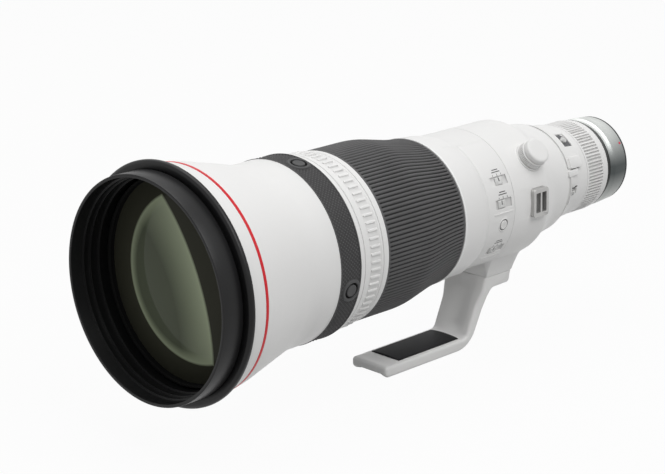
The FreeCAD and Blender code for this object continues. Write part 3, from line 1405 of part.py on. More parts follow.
# Iris
place("iris_rear", "iris_station + iris_length")
place("chamber_start", "iris_station + iris_plate")
place("iris_chamber_radius", "tube_inner - iris_wall")
place("chamber_stop", "chamber_start + iris_chamber_length")
iris_turned = turned("iris_turned", [
    ("iris_station", "tube_inner - seat_gap"),
    ("iris_rear", "tube_inner - seat_gap"),
    ("iris_rear", "iris_opening"),
    ("chamber_stop", "iris_opening"),
    ("chamber_stop", "iris_chamber_radius"),
    ("chamber_start", "iris_chamber_radius"),
    ("chamber_start", "iris_opening"),
    ("iris_station", "iris_opening"),
])
rod_seats = [
    cylinder(f"rod_seat_{number}", "rod_radius + seat_gap", "2 * rod_land",
             along_axis("iris_station - rod_land + seat_gap", angle, "rod_circle"))
    for number, angle in enumerate(ring_around("rod_count", "90"), start=1)]
keep(cut("iris_housing", iris_turned, rod_seats), "iris_housing")
place("blade_front", "chamber_start + seat_gap")
place("iris_ring_front", "blade_front + iris_blade_thickness + end_play")
blades = []
for number, angle in enumerate(ring_around("iris_blade_count"), start=1):
    wedge = sector(f"blade_wedge_{number}", "blade_front", "iris_blade_thickness", angle,
                   f"{angle} + 360 / iris_blade_count - iris_blade_gap_angle",
                   "iris_chamber_radius - seat_gap")
    hole = cylinder(f"blade_hole_{number}", "iris_opening + seat_gap", "iris_length",
                    along_axis("iris_station"))
    blades.append(cut(f"blade_{number}", wedge, [hole]))
keep(group("iris_blades", blades), "iris_blades")
keep(tube("iris_ring", "iris_ring_front", "iris_ring_front + iris_ring_thickness",
          "iris_opening + end_play", "iris_chamber_radius - running_gap"), "iris_ring")

# Image stabilizer: housing, carriage across and cell up and down
place("stabilizer_station", "collar_front + stabilizer_setback")
place("stabilizer_rear", "stabilizer_station + stabilizer_length")
place("stabilizer_inside", "stabilizer_station + stabilizer_plate")
place("stabilizer_chamber_radius", "journal_inner - stabilizer_wall")
place("carriage_radius", "stabilizer_chamber_radius - carriage_play")
place("stabilizer_cell_radius", "carriage_radius - stabilizer_cell_inset")
place("carriage_front", "stabilizer_inside + end_play")
place("carriage_rear", "carriage_front + carriage_thickness")
place("cell_front", "carriage_rear + end_play")
place("cell_rear", "cell_front + stabilizer_cell_length")
keep(turned("stabilizer_housing", [
    ("stabilizer_station", "journal_inner - seat_gap"),
    ("stabilizer_rear", "journal_inner - seat_gap"),
    ("stabilizer_rear", "stabilizer_opening"),
    ("stabilizer_rear - stabilizer_plate", "stabilizer_opening"),
    ("stabilizer_rear - stabilizer_plate", "stabilizer_chamber_radius"),
    ("stabilizer_inside", "stabilizer_chamber_radius"),
    ("stabilizer_inside", "stabilizer_opening"),
    ("stabilizer_station", "stabilizer_opening"),
]), "stabilizer_housing")
keep(tube("stabilizer_carriage", "carriage_front", "carriage_rear", "carriage_opening",
          "carriage_radius"), "stabilizer_carriage")
place("stabilizer_edge", "cell_rear - cell_lip_length - end_play - seat_gap"
      " - " + crown("stabilizer_glass_curve", "stabilizer_glass_radius",
                    "stabilizer_glass_radius - cell_lip"))
place("stabilizer_lip", cell_lip("stabilizer_edge", "stabilizer_glass_radius",
                                 "stabilizer_glass_curve"))
keep(turned("stabilizer_cell", [
    ("cell_front", "stabilizer_cell_radius"),
    ("cell_front + stabilizer_cell_flange", "stabilizer_cell_radius"),
    ("cell_front + stabilizer_cell_flange", "stabilizer_hub_radius"),
    ("cell_rear", "stabilizer_hub_radius"),
    ("cell_rear", "stabilizer_glass_radius - cell_lip"),
    ("stabilizer_lip", "stabilizer_glass_radius - cell_lip"),
    ("stabilizer_lip", "stabilizer_glass_radius + seat_gap"),
    ("cell_front", "stabilizer_glass_radius + seat_gap"),
]), "stabilizer_cell")
keep(lens_glass("stabilizer_element", "stabilizer_edge - stabilizer_glass_edge", "stabilizer_edge",
                "stabilizer_glass_radius", "stabilizer_glass_curve", "stabilizer_glass_curve"),
     "stabilizer_element")

# Rear lens group behind the control ring
place("rear_cell_end", "contact_front - seat_gap")
place("rear_cell_front", "rear_cell_end - rear_cell_length")
place("rear_edge", "rear_cell_end - 2 * cell_lip_length - end_play - seat_gap"
      " - " + crown("rear_glass_curve", "rear_glass_radius", "rear_glass_radius - cell_lip"))
place("rear_lip", cell_lip("rear_edge", "rear_glass_radius", "rear_glass_curve"))
keep(turned("rear_cell", [
    ("rear_cell_front", "mount_web_radius - seat_gap"),
    ("web_front - seat_gap - rear_cell_flange", "mount_web_radius - seat_gap"),
    ("web_front - seat_gap - rear_cell_flange", "waist_radius - mount_sleeve_wall - seat_gap"),
    ("web_front - seat_gap", "waist_radius - mount_sleeve_wall - seat_gap"),
    ("web_front - seat_gap", "mount_web_radius - seat_gap"),
    ("rear_cell_end", "mount_web_radius - seat_gap"),
    ("rear_cell_end", "rear_glass_radius - cell_lip"),
    ("rear_lip", "rear_glass_radius - cell_lip"),
    ("rear_lip", "rear_glass_radius + seat_gap"),
    ("rear_cell_front", "rear_glass_radius + seat_gap"),
]), "rear_cell")
keep(lens_glass("rear_element", "rear_edge - rear_glass_edge", "rear_edge", "rear_glass_radius",
                "rear_glass_curve", "rear_glass_curve"), "rear_element")

doc.recompute()
for item in doc.Objects:
    if "Invalid" in item.State or "Error" in item.State:
        raise RuntimeError(f"{item.Name} is {item.State}")
for piece in pieces:
    if piece.Shape.isNull() or not piece.Shape.isValid() or not piece.Shape.Solids:
        raise RuntimeError(f"{piece.Label} has no valid solid")
os.makedirs("parts", exist_ok=True)
for piece in pieces:
    piece.Shape.exportStep(f"parts/{piece.Label}.step")
    print(f"{piece.Label}: {len(piece.Shape.Solids)} solid(s), {piece.Shape.Volume / 1000:.2f} cm3")
print(f"{len(pieces)} pieces, {read('mount_face'):.1f} mm from the rim to the mounting face")
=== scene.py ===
"""Looks of a super telephoto lens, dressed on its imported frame.

The optical axis is Y and the front glass faces -Y, with +Z up. Places along the lens are stations:
millimetres behind the front rim. Angles round the axis run from +X towards +Z, in degrees. Meshes are
built in millimetres and scaled to metres when they become objects.
"""
import logging
import math
from collections.abc import Callable, Sequence
from dataclasses import dataclass
from enum import Enum

import bmesh
import bpy
from mathutils import Matrix, Vector


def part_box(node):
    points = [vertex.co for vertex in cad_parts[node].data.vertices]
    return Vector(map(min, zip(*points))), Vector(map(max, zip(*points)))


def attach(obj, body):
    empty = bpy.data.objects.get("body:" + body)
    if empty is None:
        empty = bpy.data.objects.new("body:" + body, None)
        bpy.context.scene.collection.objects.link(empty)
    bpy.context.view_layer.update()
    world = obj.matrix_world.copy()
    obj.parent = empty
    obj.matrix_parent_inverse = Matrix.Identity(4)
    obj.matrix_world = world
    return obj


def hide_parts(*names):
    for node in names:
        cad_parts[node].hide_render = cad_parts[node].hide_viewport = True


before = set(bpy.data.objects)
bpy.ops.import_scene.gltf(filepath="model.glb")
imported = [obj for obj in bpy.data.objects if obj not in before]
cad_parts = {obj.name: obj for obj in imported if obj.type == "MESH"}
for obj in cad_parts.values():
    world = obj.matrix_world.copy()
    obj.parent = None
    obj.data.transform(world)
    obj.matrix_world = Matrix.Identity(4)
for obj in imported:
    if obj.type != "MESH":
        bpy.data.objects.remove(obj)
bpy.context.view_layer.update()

MOUNT_STATION = 472.0
MILLIMETRE = 0.001
FULL_TURN = 360.0
RING_STEPS = 320
SLEEVE_STEPS = 256
SMALL_STEPS = 64
log = logging.getLogger("lens")

Pair = tuple[float, float]
Triple = tuple[float, float, float]
Colour = Triple


class Body(str, Enum):
    """The bodies of the frame that pieces ride on."""

    BARREL = "barrel"
    PRESET = "preset_ring"
    FOCUS = "focus_ring"
    CONTROL = "control_ring"
    COLLAR = "collar"
    KNOB = "lock_knob"
    HOLDER = "filter_holder"
    LATCH = "filter_latch"
    FUNCTION_BUTTON_1 = "function_button_1"
    FUNCTION_BUTTON_2 = "function_button_2"
    FUNCTION_BUTTON_3 = "function_button_3"
    FUNCTION_BUTTON_4 = "function_button_4"
    SET_BUTTON = "set_button"
    MODE_SWITCH = "mode_switch"
    STABILIZER_SWITCH = "stabilizer_switch"
    RECALL_SWITCH = "recall_switch"
    FOCUS_MODE_SWITCH = "focus_mode_switch"


def shader_group(name: str, inputs: Sequence[tuple[str, str, object]],
                 outputs: Sequence[tuple[str, str]]) -> tuple[bpy.types.NodeTree, object, object]:
    """Start a shader node group with named sockets.

    Args:
        name: name of the group.
        inputs: socket name, socket type and default value of each input.
        outputs: socket name and socket type of each output.

    Returns:
        The group and its input and output nodes.
    """
    group = bpy.data.node_groups.new(name, "ShaderNodeTree")
    for label, kind, default in inputs:
        socket = group.interface.new_socket(label, in_out="INPUT", socket_type=kind)
        socket.default_value = default
    for label, kind in outputs:
        group.interface.new_socket(label, in_out="OUTPUT", socket_type=kind)
    return group, group.nodes.new("NodeGroupInput"), group.nodes.new("NodeGroupOutput")


class Wiring:
    """Adds nodes to a shader tree and joins them."""

    def __init__(self, tree: bpy.types.NodeTree) -> None:
        """Take the tree that the nodes go into."""
        self.nodes, self.links = tree.nodes, tree.links

    def feed(self, socket: bpy.types.NodeSocket, value: object) -> None:
        """Give an input a number, a vector or a colour, or join an output to it.

        Args:
            socket: the input.
            value: its value, or the output that it takes.
        """
        if isinstance(value, bpy.types.NodeSocket):
            self.links.new(value, socket)
        elif socket.type == "RGBA":
            socket.default_value = (*value, 1.0)
        else:
            socket.default_value = value

    def fill(self, node: bpy.types.Node, values: dict[str, object]) -> bpy.types.Node:
        """Feed a node's inputs by their names.

        Args:
            node: the node.
            values: value or output for each named input.

        Returns:
            The same node.
        """
        for label, value in values.items():
            self.feed(node.inputs[label], value)
        return node

    def add(self, kind: str, values: dict[str, object] | None = None,
            **settings: object) -> bpy.types.Node:
        """Add a node.

        Args:
            kind: type of the node.
            values: value or output for each named input.
            settings: properties of the node, set before its inputs.

        Returns:
            The new node.
        """
        node = self.nodes.new(kind)
        for name, setting in settings.items():
            setattr(node, name, setting)
        return self.fill(node, values or {})

    def work_out(self, kind: str, operation: str, *values: object) -> bpy.types.Node:
        """Add a node that works with numbers or vectors.

        Args:
            kind: type of the node.
            operation: what it does.
            values: value or output for each input in turn.

        Returns:
            The new node.
        """
        node = self.add(kind, operation=operation)
        for socket, value in zip(node.inputs, values):
            self.feed(socket, value)
        return node

    def number(self, operation: str, *values: object) -> bpy.types.NodeSocket:
        """Return the result of a sum with numbers."""
        return self.work_out("ShaderNodeMath", operation, *values).outputs["Value"]

    def vector(self, operation: str, *values: object) -> bpy.types.Node:
        """Return the node of a sum with vectors."""
        return self.work_out("ShaderNodeVectorMath", operation, *values)

    def share(self, source: bpy.types.NodeSocket, low: float, high: float) -> bpy.types.NodeSocket:
        """Return how far a value lies between two limits, from 0 to 1."""
        values = {"Value": source, "From Min": low, "From Max": high}
        return self.add("ShaderNodeMapRange", values).outputs["Result"]

    def noise(self, place: bpy.types.NodeSocket, scale: object, detail: float) -> bpy.types.NodeSocket:
        """Return a noise pattern over a place."""
        values = {"Vector": place, "Scale": scale, "Detail": detail}
        return self.add("ShaderNodeTexNoise", values).outputs["Fac"]

    def mix(self, factor: bpy.types.NodeSocket, first: object, second: object,
            blend: str = "MIX") -> bpy.types.NodeSocket:
        """Mix two colours.

        Args:
            factor: share of the second colour.
            first: a colour, or the output that gives it.
            second: the other colour.
            blend: how the two go together.

        Returns:
            The output of the mixed colour.
        """
        values = {"Factor": factor, "A": first, "B": second}
        return self.add("ShaderNodeMix", values, data_type="RGBA", blend_type=blend).outputs["Result"]

    def object_place(self) -> bpy.types.NodeSocket:
        """Return the place on the object."""
        return self.add("ShaderNodeTexCoord").outputs["Object"]


@dataclass(frozen=True)
class SurfacePattern:
    """Scales of the patterns on every finish, and the limits between which each effect rises."""

    cloud_scale: float = 28.0
    cloud_detail: float = 2.0
    grain_detail: float = 3.0
    mottled: Pair = (0.35, 0.65)
    # Painted shade: creases and recesses, found by low pointiness between the next two limits, are darkened
    # towards a grey.
    hollow_painted_shade: Pair = (0.5, 0.42)
    hollow_shade: Colour = (0.12, 0.12, 0.12)
    edge: Pair = (0.53, 0.62)
    worn: Pair = (0.4, 0.6)
    sheen: Pair = (0.3, 0.7)

    def build(self) -> bpy.types.NodeTree:
        """Build the group that gives every finish its mottling, painted shade in its hollows, uneven sheen,
        wear and grain.

        Returns:
            The group, with colour, roughness and height outputs.
        """
        group, given, result = shader_group("surface_finish", [
            ("Colour", "NodeSocketColor", (0.5, 0.5, 0.5, 1.0)),
            ("Worn Colour", "NodeSocketColor", (0.8, 0.8, 0.8, 1.0)),
            ("Mottle", "NodeSocketFloat", 0.05),
            ("Roughness", "NodeSocketFloat", 0.5),
            ("Spread", "NodeSocketFloat", 0.1),
            ("Wear", "NodeSocketFloat", 0.0),
            ("Hollow Painted Shade", "NodeSocketFloat", 0.0),
            ("Grain Scale", "NodeSocketFloat", 900.0),
            ("Stretch", "NodeSocketVector", (1.0, 1.0, 1.0)),
        ], [("Colour", "NodeSocketColor"), ("Roughness", "NodeSocketFloat"), ("Height", "NodeSocketFloat")])
        wiring, given = Wiring(group), given.outputs
        place = wiring.object_place()
        stretched = wiring.vector("MULTIPLY", place, given["Stretch"]).outputs["Vector"]
        grain = wiring.noise(stretched, given["Grain Scale"], self.grain_detail)
        cloud = wiring.noise(place, self.cloud_scale, self.cloud_detail)
        tone = wiring.number("MULTIPLY", wiring.share(cloud, *self.mottled), given["Mottle"])
        mottled = wiring.mix(tone, given["Colour"], given["Colour"], "MULTIPLY")
        # Painted shade: the colour darkens in hollows, where pointiness is low, by the finish's strength for
        # it.
        pointed = wiring.add("ShaderNodeNewGeometry").outputs["Pointiness"]
        depth = wiring.number("MULTIPLY", wiring.share(pointed, *self.hollow_painted_shade), given["Hollow Painted Shade"])
        hollow_painted_shade = wiring.mix(depth, mottled, self.hollow_shade, "MULTIPLY")
        edge = wiring.share(pointed, *self.edge)
        broken = wiring.number("MULTIPLY", edge, wiring.share(grain, *self.worn))
        worn = wiring.number("MULTIPLY", broken, given["Wear"])
        sheen = wiring.number("MULTIPLY_ADD", wiring.share(grain, *self.sheen), given["Spread"],
                              given["Roughness"])
        wiring.fill(result, {"Colour": wiring.mix(worn, hollow_painted_shade, given["Worn Colour"]),
                             "Roughness": sheen, "Height": grain})
        return group


SURFACE = SurfacePattern().build()


@dataclass(frozen=True)
class Finish:
    """A finish of the lens, with the numbers that its surface group and shader need.

    The grain has a scale and a stretch along each axis, and its depth is in millimetres.
    """

    name: str
    slot: str
    colour: Colour
    roughness: float
    metallic: float = 0.0
    specular: float = 0.5
    mottle: float = 0.04
    spread: float = 0.08
    wear: float = 0.0
    # Strength of the painted shade in hollows.
    hollow_painted_shade: float = 0.0
    worn_colour: Colour = (0.85, 0.85, 0.83)
    grain: float = 1400.0
    stretch: Colour = (1.0, 1.0, 1.0)
    relief: float = 0.05
    coat: float = 0.0
    coat_roughness: float = 0.15
    anisotropic: float = 0.0
    grain_depth: float = 0.3

    def material(self) -> bpy.types.Material:
        """Return the finish's material, made the first time it is asked for."""
        return bpy.data.materials.get(self.name) or self.build()

    def build(self) -> bpy.types.Material:
        """Build the material from the shared surface group and one Principled shader.

        Returns:
            The new material.
        """
        material = bpy.data.materials.new(self.name)
        material.use_nodes = True
        wiring = Wiring(material.node_tree)
        surface = wiring.add("ShaderNodeGroup", {
            "Colour": self.colour, "Worn Colour": self.worn_colour, "Mottle": self.mottle,
            "Roughness": self.roughness, "Spread": self.spread, "Wear": self.wear, "Hollow Painted Shade": self.hollow_painted_shade,
            "Grain Scale": self.grain, "Stretch": self.stretch}, node_tree=SURFACE, name="surface")
        bump = wiring.add("ShaderNodeBump", {
            "Strength": self.relief, "Distance": self.grain_depth * MILLIMETRE,
            "Height": surface.outputs["Height"]})
        wiring.fill(wiring.nodes["Principled BSDF"], {
            "Base Color": surface.outputs["Colour"], "Roughness": surface.outputs["Roughness"],
            "Normal": bump.outputs["Normal"], "Metallic": self.metallic,
            "Specular IOR Level": self.specular, "Coat Weight": self.coat,
            "Coat Roughness": self.coat_roughness, "Anisotropic": self.anisotropic})
        return material


@dataclass(frozen=True)
class GlassWithPaintedReflection(Finish):
    """Dark coated front glass with a painted reflection: a pale almond in its colour that stands in for a
    soft light's reflection.

    Each arc is the X and Z of its centre, its radius and the width of its painted glow, in millimetres; the
    almond of painted reflection lies inside both. Its border is soft between two distances from the arcs.
    """

    painted_reflection_rim: Colour = (0.60, 0.675, 0.46)
    painted_reflection_middle: Colour = (0.122, 0.138, 0.094)
    arcs: tuple[tuple[float, float, float, float], ...] = ((13.8, 5.3, 59.2, 8.5),
                                                           (-66.6, -30.4, 102.1, 30.0))
    border: Pair = (-0.3, 1.6)
    fading: float = 0.6

    def build(self) -> bpy.types.Material:
        """Build the glass with the almond of painted reflection in its colour.

        Returns:
            The new material.
        """
        material = super().build()
        wiring = Wiring(material.node_tree)
        # Painted reflection: the almond's colour is laid on by place on the glass, in place of a soft
        # light's reflection.
        flat = wiring.vector("MULTIPLY", wiring.object_place(), (1.0, 0.0, 1.0)).outputs["Vector"]
        reaches, fades = [], []
        for x, z, radius, width in self.arcs:
            centre = (x * MILLIMETRE, 0.0, z * MILLIMETRE)
            away = wiring.vector("DISTANCE", flat, centre).outputs["Value"]
            reaches.append(wiring.number("SUBTRACT", radius * MILLIMETRE, away))
            rise = wiring.share(reaches[-1], 0.0, width * MILLIMETRE)
            fades.append(wiring.number("POWER", rise, self.fading))
        borders = (edge * MILLIMETRE for edge in self.border)
        painted_reflection_mask = wiring.share(wiring.number("MINIMUM", *reaches), *borders)
        glow = wiring.mix(wiring.number("MULTIPLY", *fades), self.painted_reflection_rim, self.painted_reflection_middle)
        wiring.fill(wiring.nodes["surface"], {"Colour": wiring.mix(painted_reflection_mask, self.colour, glow)})
        return material


@dataclass(frozen=True)
class TurnedMetal(Finish):
    """Turned metal with a painted reflection: its colour is darker at its sides, for the dark studio, and
    lighter at its top and bottom, for the light.

    The painted colour changes between two heights above or below the axis, in millimetres.
    """

    painted_side_reflection: Colour = (0.09, 0.1, 0.1)
    dark_height: float = 3.0
    light_height: float = 33.0

    def build(self) -> bpy.types.Material:
        """Build the metal with its painted reflection changing with the height above or below the axis.

        Returns:
            The new material.
        """
        material = super().build()
        wiring = Wiring(material.node_tree)
        # Painted reflection: darker at the sides, lighter towards the top and bottom.
        split = wiring.add("ShaderNodeSeparateXYZ", {"Vector": wiring.object_place()})
        height = wiring.number("ABSOLUTE", split.outputs["Z"])
        share = wiring.share(height, self.dark_height * MILLIMETRE, self.light_height * MILLIMETRE)
        wiring.fill(wiring.nodes["surface"], {"Colour": wiring.mix(share, self.painted_side_reflection, self.colour)})
        return material


# Each finish's hollow strength below sets how much painted shade darkens its creases.
WHITE_PAINT = Finish("white_satin_paint", "white_paint", (0.745, 0.74, 0.73), 0.36, specular=0.35,
                     mottle=0.02, wear=0.15, hollow_painted_shade=0.35, worn_colour=(0.84, 0.84, 0.83), grain=2600.0,
                     relief=0.035)
PANEL_PAINT = Finish("white_panel_plastic", "white_panel", (0.735, 0.73, 0.72), 0.42, specular=0.35,
                     mottle=0.02, hollow_painted_shade=0.4, grain=3200.0, relief=0.05)
RED_PAINT = Finish("red_ring_enamel", "red_paint", (0.60, 0.012, 0.022), 0.3, specular=0.3, mottle=0.1,
                   relief=0.02)
INDEX_RED = Finish("index_red_enamel", "red_paint", (0.60, 0.05, 0.09), 0.35, specular=0.3, mottle=0.05,
                   relief=0.02)
BLACK_SATIN = Finish("black_satin_metal", "front_tube_black", (0.008, 0.008, 0.0085), 0.33, specular=0.24,
                     mottle=0.2, wear=0.12, worn_colour=(0.09, 0.09, 0.09), grain=2400.0, relief=0.07)
BLACK_MATT = Finish("black_matt_lining", "front_tube_black", (0.006, 0.006, 0.006), 0.6, specular=0.08,
                    mottle=0.2, grain=2000.0, relief=0.1)
# The front glass carries a painted reflection of a soft light in its colour.
FRONT_GLASS = GlassWithPaintedReflection("dark_glass_painted_reflection", "coated_glass", (0.056, 0.056, 0.040), 0.03, spread=0.01,
                          specular=0.045, relief=0.0, grain=40.0)
INNER_GLASS = Finish("inner_coated_glass", "inner_glass", (0.02, 0.032, 0.04), 0.03, spread=0.01,
                     specular=0.4, relief=0.0, mottle=0.3, grain=40.0)
RUBBER = Finish("ribbed_rubber", "black_rubber", (0.098, 0.097, 0.098), 0.62, specular=0.2, mottle=0.15,
                wear=0.5, hollow_painted_shade=1.0, worn_colour=(0.23, 0.23, 0.23), grain=2600.0, relief=0.15)
BAND_RUBBER = Finish("knurled_rubber", "black_rubber", (0.064, 0.063, 0.064), 0.6, specular=0.2,
                     mottle=0.15, wear=0.8, hollow_painted_shade=1.0, worn_colour=(0.24, 0.24, 0.24), grain=2600.0,
                     relief=0.1)
# Near-black painted shade for the floor of each button's gap.
BUTTON_GAP_SHADE = Finish("button_gap_painted_shade", "black_rubber", (0.006, 0.006, 0.006), 0.7, specular=0.1,
                    mottle=0.2, relief=0.1)
PAD_RUBBER = Finish("pad_rubber", "black_rubber", (0.017, 0.017, 0.018), 0.55, specular=0.12, mottle=0.2,
                    grain=1500.0, relief=0.35)
BUTTON = Finish("button_rubber_finish", "button_rubber", (0.07, 0.07, 0.071), 0.5, specular=0.25,
                mottle=0.12, relief=0.1)
WHITE_BUTTON = Finish("white_button_plastic", "button_rubber", (0.72, 0.715, 0.70), 0.4, hollow_painted_shade=0.4,
                      relief=0.03)
SLIDER = Finish("slider_plastic", "switch_caps", (0.66, 0.66, 0.65), 0.4, mottle=0.05, hollow_painted_shade=0.5,
                relief=0.05)
PRINT = Finish("dark_print", "switch_caps", (0.05, 0.05, 0.05), 0.55, mottle=0.05, relief=0.02)
WINDOW = Finish("window_floor_plastic", "switch_caps", (0.36, 0.355, 0.345), 0.5, mottle=0.05, relief=0.04)
# Dark grey painted shade for the gap round the set button.
SET_GAP_SHADE = Finish("set_gap_painted_shade", "switch_caps", (0.10, 0.10, 0.10), 0.6, mottle=0.1, relief=0.03)
KNOB_PAINT = Finish("knob_paint", "white_paint", (0.735, 0.73, 0.72), 0.42, specular=0.3, mottle=0.03,
                    wear=0.3, hollow_painted_shade=0.45, worn_colour=(0.82, 0.82, 0.81), grain=2600.0, relief=0.04)
LATCH_LEVER = Finish("latch_lever_paint", "latch_grey", (0.55, 0.55, 0.54), 0.36, mottle=0.05, wear=0.3,
                     worn_colour=(0.8, 0.8, 0.8), relief=0.04)
LATCH_GREY = Finish("latch_recess_grey", "latch_grey", (0.10, 0.10, 0.105), 0.5, mottle=0.1, relief=0.08)
LUG_METAL = Finish("strap_lug_metal", "lug_grey", (0.47, 0.465, 0.455), 0.3, metallic=0.6, mottle=0.1,
                   wear=0.7, hollow_painted_shade=0.9, worn_colour=(0.8, 0.8, 0.79), relief=0.05)
# The sleeve and waist colours paint the studio's reflection: darker at the sides, lighter at the top and
# bottom.
SLEEVE_METAL = TurnedMetal("turned_sleeve_metal", "sleeve_silver", (0.60, 0.615, 0.60), 0.42, metallic=1.0,
                           mottle=0.1, spread=0.12, wear=0.3, worn_colour=(0.7, 0.7, 0.7), grain=900.0,
                           stretch=(1.0, 9.0, 1.0), relief=0.06, anisotropic=0.4)
WAIST_METAL = TurnedMetal("dark_waist_metal", "sleeve_silver", (0.12, 0.124, 0.122), 0.5, metallic=1.0,
                          mottle=0.1, grain=900.0, stretch=(1.0, 9.0, 1.0), relief=0.05, anisotropic=0.4,
                          painted_side_reflection=(0.035, 0.037, 0.036))
BAYONET_METAL = Finish("bayonet_steel", "bayonet_chrome", (0.60, 0.60, 0.60), 0.2, metallic=1.0,
                       mottle=0.08, spread=0.12, grain=700.0, stretch=(1.0, 6.0, 1.0), relief=0.04)
STEEL = Finish("plain_steel", "steel_parts", (0.5, 0.5, 0.51), 0.3, metallic=1.0, mottle=0.1, relief=0.05)
BRASS = Finish("bearing_brass_finish", "bearing_brass", (0.72, 0.53, 0.25), 0.32, metallic=1.0, mottle=0.1,
               relief=0.05)
GOLD = Finish("contact_gold_finish", "contact_gold", (0.85, 0.62, 0.26), 0.18, metallic=1.0, relief=0.02)
CONTACT_PLASTIC = Finish("contact_plastic", "contact_black", (0.015, 0.015, 0.016), 0.4, relief=0.05)
LINING = Finish("anodised_lining", "inner_aluminium", (0.02, 0.02, 0.021), 0.5, metallic=0.4, relief=0.06)
TRIM_BRIGHT = Finish("bright_trim", "white_paint", (0.84, 0.84, 0.83), 0.25, coat=0.4, relief=0.01)


def spot(station: float, angle: float, radius: float) -> Vector:
    """Return the point at a station, an angle and a distance from the axis, in millimetres."""
    turn = math.radians(angle)
    return Vector((radius * math.cos(turn), station - MOUNT_STATION, radius * math.sin(turn)))


def seat(station: float, angle: float, radius: float, lean: float = 0.0) -> Matrix:
    """Return a local frame on the barrel.

    Args:
        station: place along the lens.
        angle: place round the axis.
        radius: distance from the axis.
        lean: how far the frame's outward axis leans back, in degrees.

    Returns:
        A matrix whose X runs back along the lens, Y round it and Z outwards.
    """
    turn = math.radians(angle)
    outward = Vector((math.cos(turn), 0, math.sin(turn)))
    around = Vector((-math.sin(turn), 0, math.cos(turn)))
    frame_here = Matrix((Vector((0, 1, 0)), around, outward)).transposed().to_4x4()
    frame_here.translation = spot(station, angle, radius)
    return frame_here @ Matrix.Rotation(math.radians(lean), 4, "Y")


def arc(start: Pair, end: Pair, radius: float, steps: int = 12) -> list[Pair]:
    """Return points on a circular arc, without its end.

    Args:
        start: first point, as station and radius.
        end: last point.
        radius: radius of the arc; positive has its centre left of the way.
        steps: number of pieces.

    Returns:
        The points from the start to just before the end.
    """
    a, b = Vector(start), Vector(end)
    chord = b - a
    left = Vector((-chord.y, chord.x)).normalized()
    rise = math.sqrt(radius ** 2 - (chord.length / 2) ** 2)
    centre = (a + b) / 2 + left * math.copysign(rise, radius)
    first = math.atan2(a.y - centre.y, a.x - centre.x)
    sweep = 2 * math.asin(chord.length / 2 / abs(radius)) * math.copysign(1, radius)
    return [(centre.x + abs(radius) * math.cos(first + sweep * i / steps),
             centre.y + abs(radius) * math.sin(first + sweep * i / steps)) for i in range(steps)]


def eased(corners: Sequence[Pair], rounding: float, straight: float = 12.0) -> list[Pair]:
    """Round each sharp corner of a closed outline.

    Args:
        corners: the outline's corners.
        rounding: how far each rounding reaches along its edges.
        straight: corners that turn less than this many degrees stay.

    Returns:
        The outline with three points in place of each sharp corner.
    """
    result: list[Pair] = []
    count = len(corners)
    for index in range(count):
        before, here, after = (Vector(corners[(index + k) % count]) for k in (-1, 0, 1))
        back, ahead = before - here, after - here
        if here.y < 1e-6 or math.degrees(back.angle(-ahead, 0.0)) < straight:
            result.append((here.x, here.y))
            continue
        reach = min(rounding, 0.4 * back.length, 0.4 * ahead.length)
        p, q = here + back.normalized() * reach, here + ahead.normalized() * reach
        middle = (p + q) / 4 + here / 2
        result += [(p.x, p.y), (middle.x, middle.y), (q.x, q.y)]
    return result


def filleted(corners: Sequence[Triple], steps: int = 8,
             longest: float = 2.5) -> list[Pair]:
    """Round each corner of a closed outline with its own radius and divide its long edges.

    Args:
        corners: place and rounding radius of each corner.
        steps: number of pieces of each rounding.
        longest: longest edge that is left whole.

    Returns:
        The outline's points.
    """
    rounded: list[Vector] = []
    for index, (x, y, radius) in enumerate(corners):
        here = Vector((x, y))
        if not radius:
            rounded.append(here)
            continue
        back = (Vector(corners[index - 1][:2]) - here).normalized()
        ahead = (Vector(corners[(index + 1) % len(corners)][:2]) - here).normalized()
        half = back.angle(ahead) / 2
        centre = here + (back + ahead).normalized() * radius / math.sin(half)
        p, q = (here + way * radius / math.tan(half) - centre for way in (back, ahead))
        rounded += [centre + p.lerp(q, step / steps).normalized() * radius for step in range(steps + 1)]
    result: list[Pair] = []
    for here, after in zip(rounded, rounded[1:] + rounded[:1]):
        pieces = max(1, math.ceil((after - here).length / longest))
        result += [tuple(here.lerp(after, k / pieces)) for k in range(pieces)]
    return result


def clamped(value: float) -> float:
    """Return a value held between 0 and 1."""
    return min(1.0, max(0.0, value))


def smooth(value: float, low: float, high: float) -> float:
    """Return 0 below one limit, 1 beyond the other and an even S-curve between them."""
    share = clamped((value - low) / (high - low))
    return share * share * (3 - 2 * share)


def evenly(first: float, pitch: float, count: int) -> list[float]:
    """Return a number of values at an even pitch."""
    return [first + pitch * index for index in range(count)]


def radius_at(outline: Sequence[Pair], station: float) -> float:
    """Return the radius of an outline at a station.

    Args:
        outline: stations and radii in order, with straight lines between them.
        station: place along the lens.

    Returns:
        The radius there, or that of the nearer end outside the outline.
    """
    for (s0, r0), (s1, r1) in zip(outline, outline[1:]):
        if station <= s1:
            return r0 + (r1 - r0) * max(0.0, station - s0) / (s1 - s0)
    return outline[-1][1]


def placed(name: str, data: bpy.types.ID) -> bpy.types.Object:
    """Put an object in the scene.

    Args:
        name: its name.
        data: its mesh, lamp or camera.

    Returns:
        The new object.
    """
    piece = bpy.data.objects.new(name, data)
    bpy.context.scene.collection.objects.link(piece)
    return piece


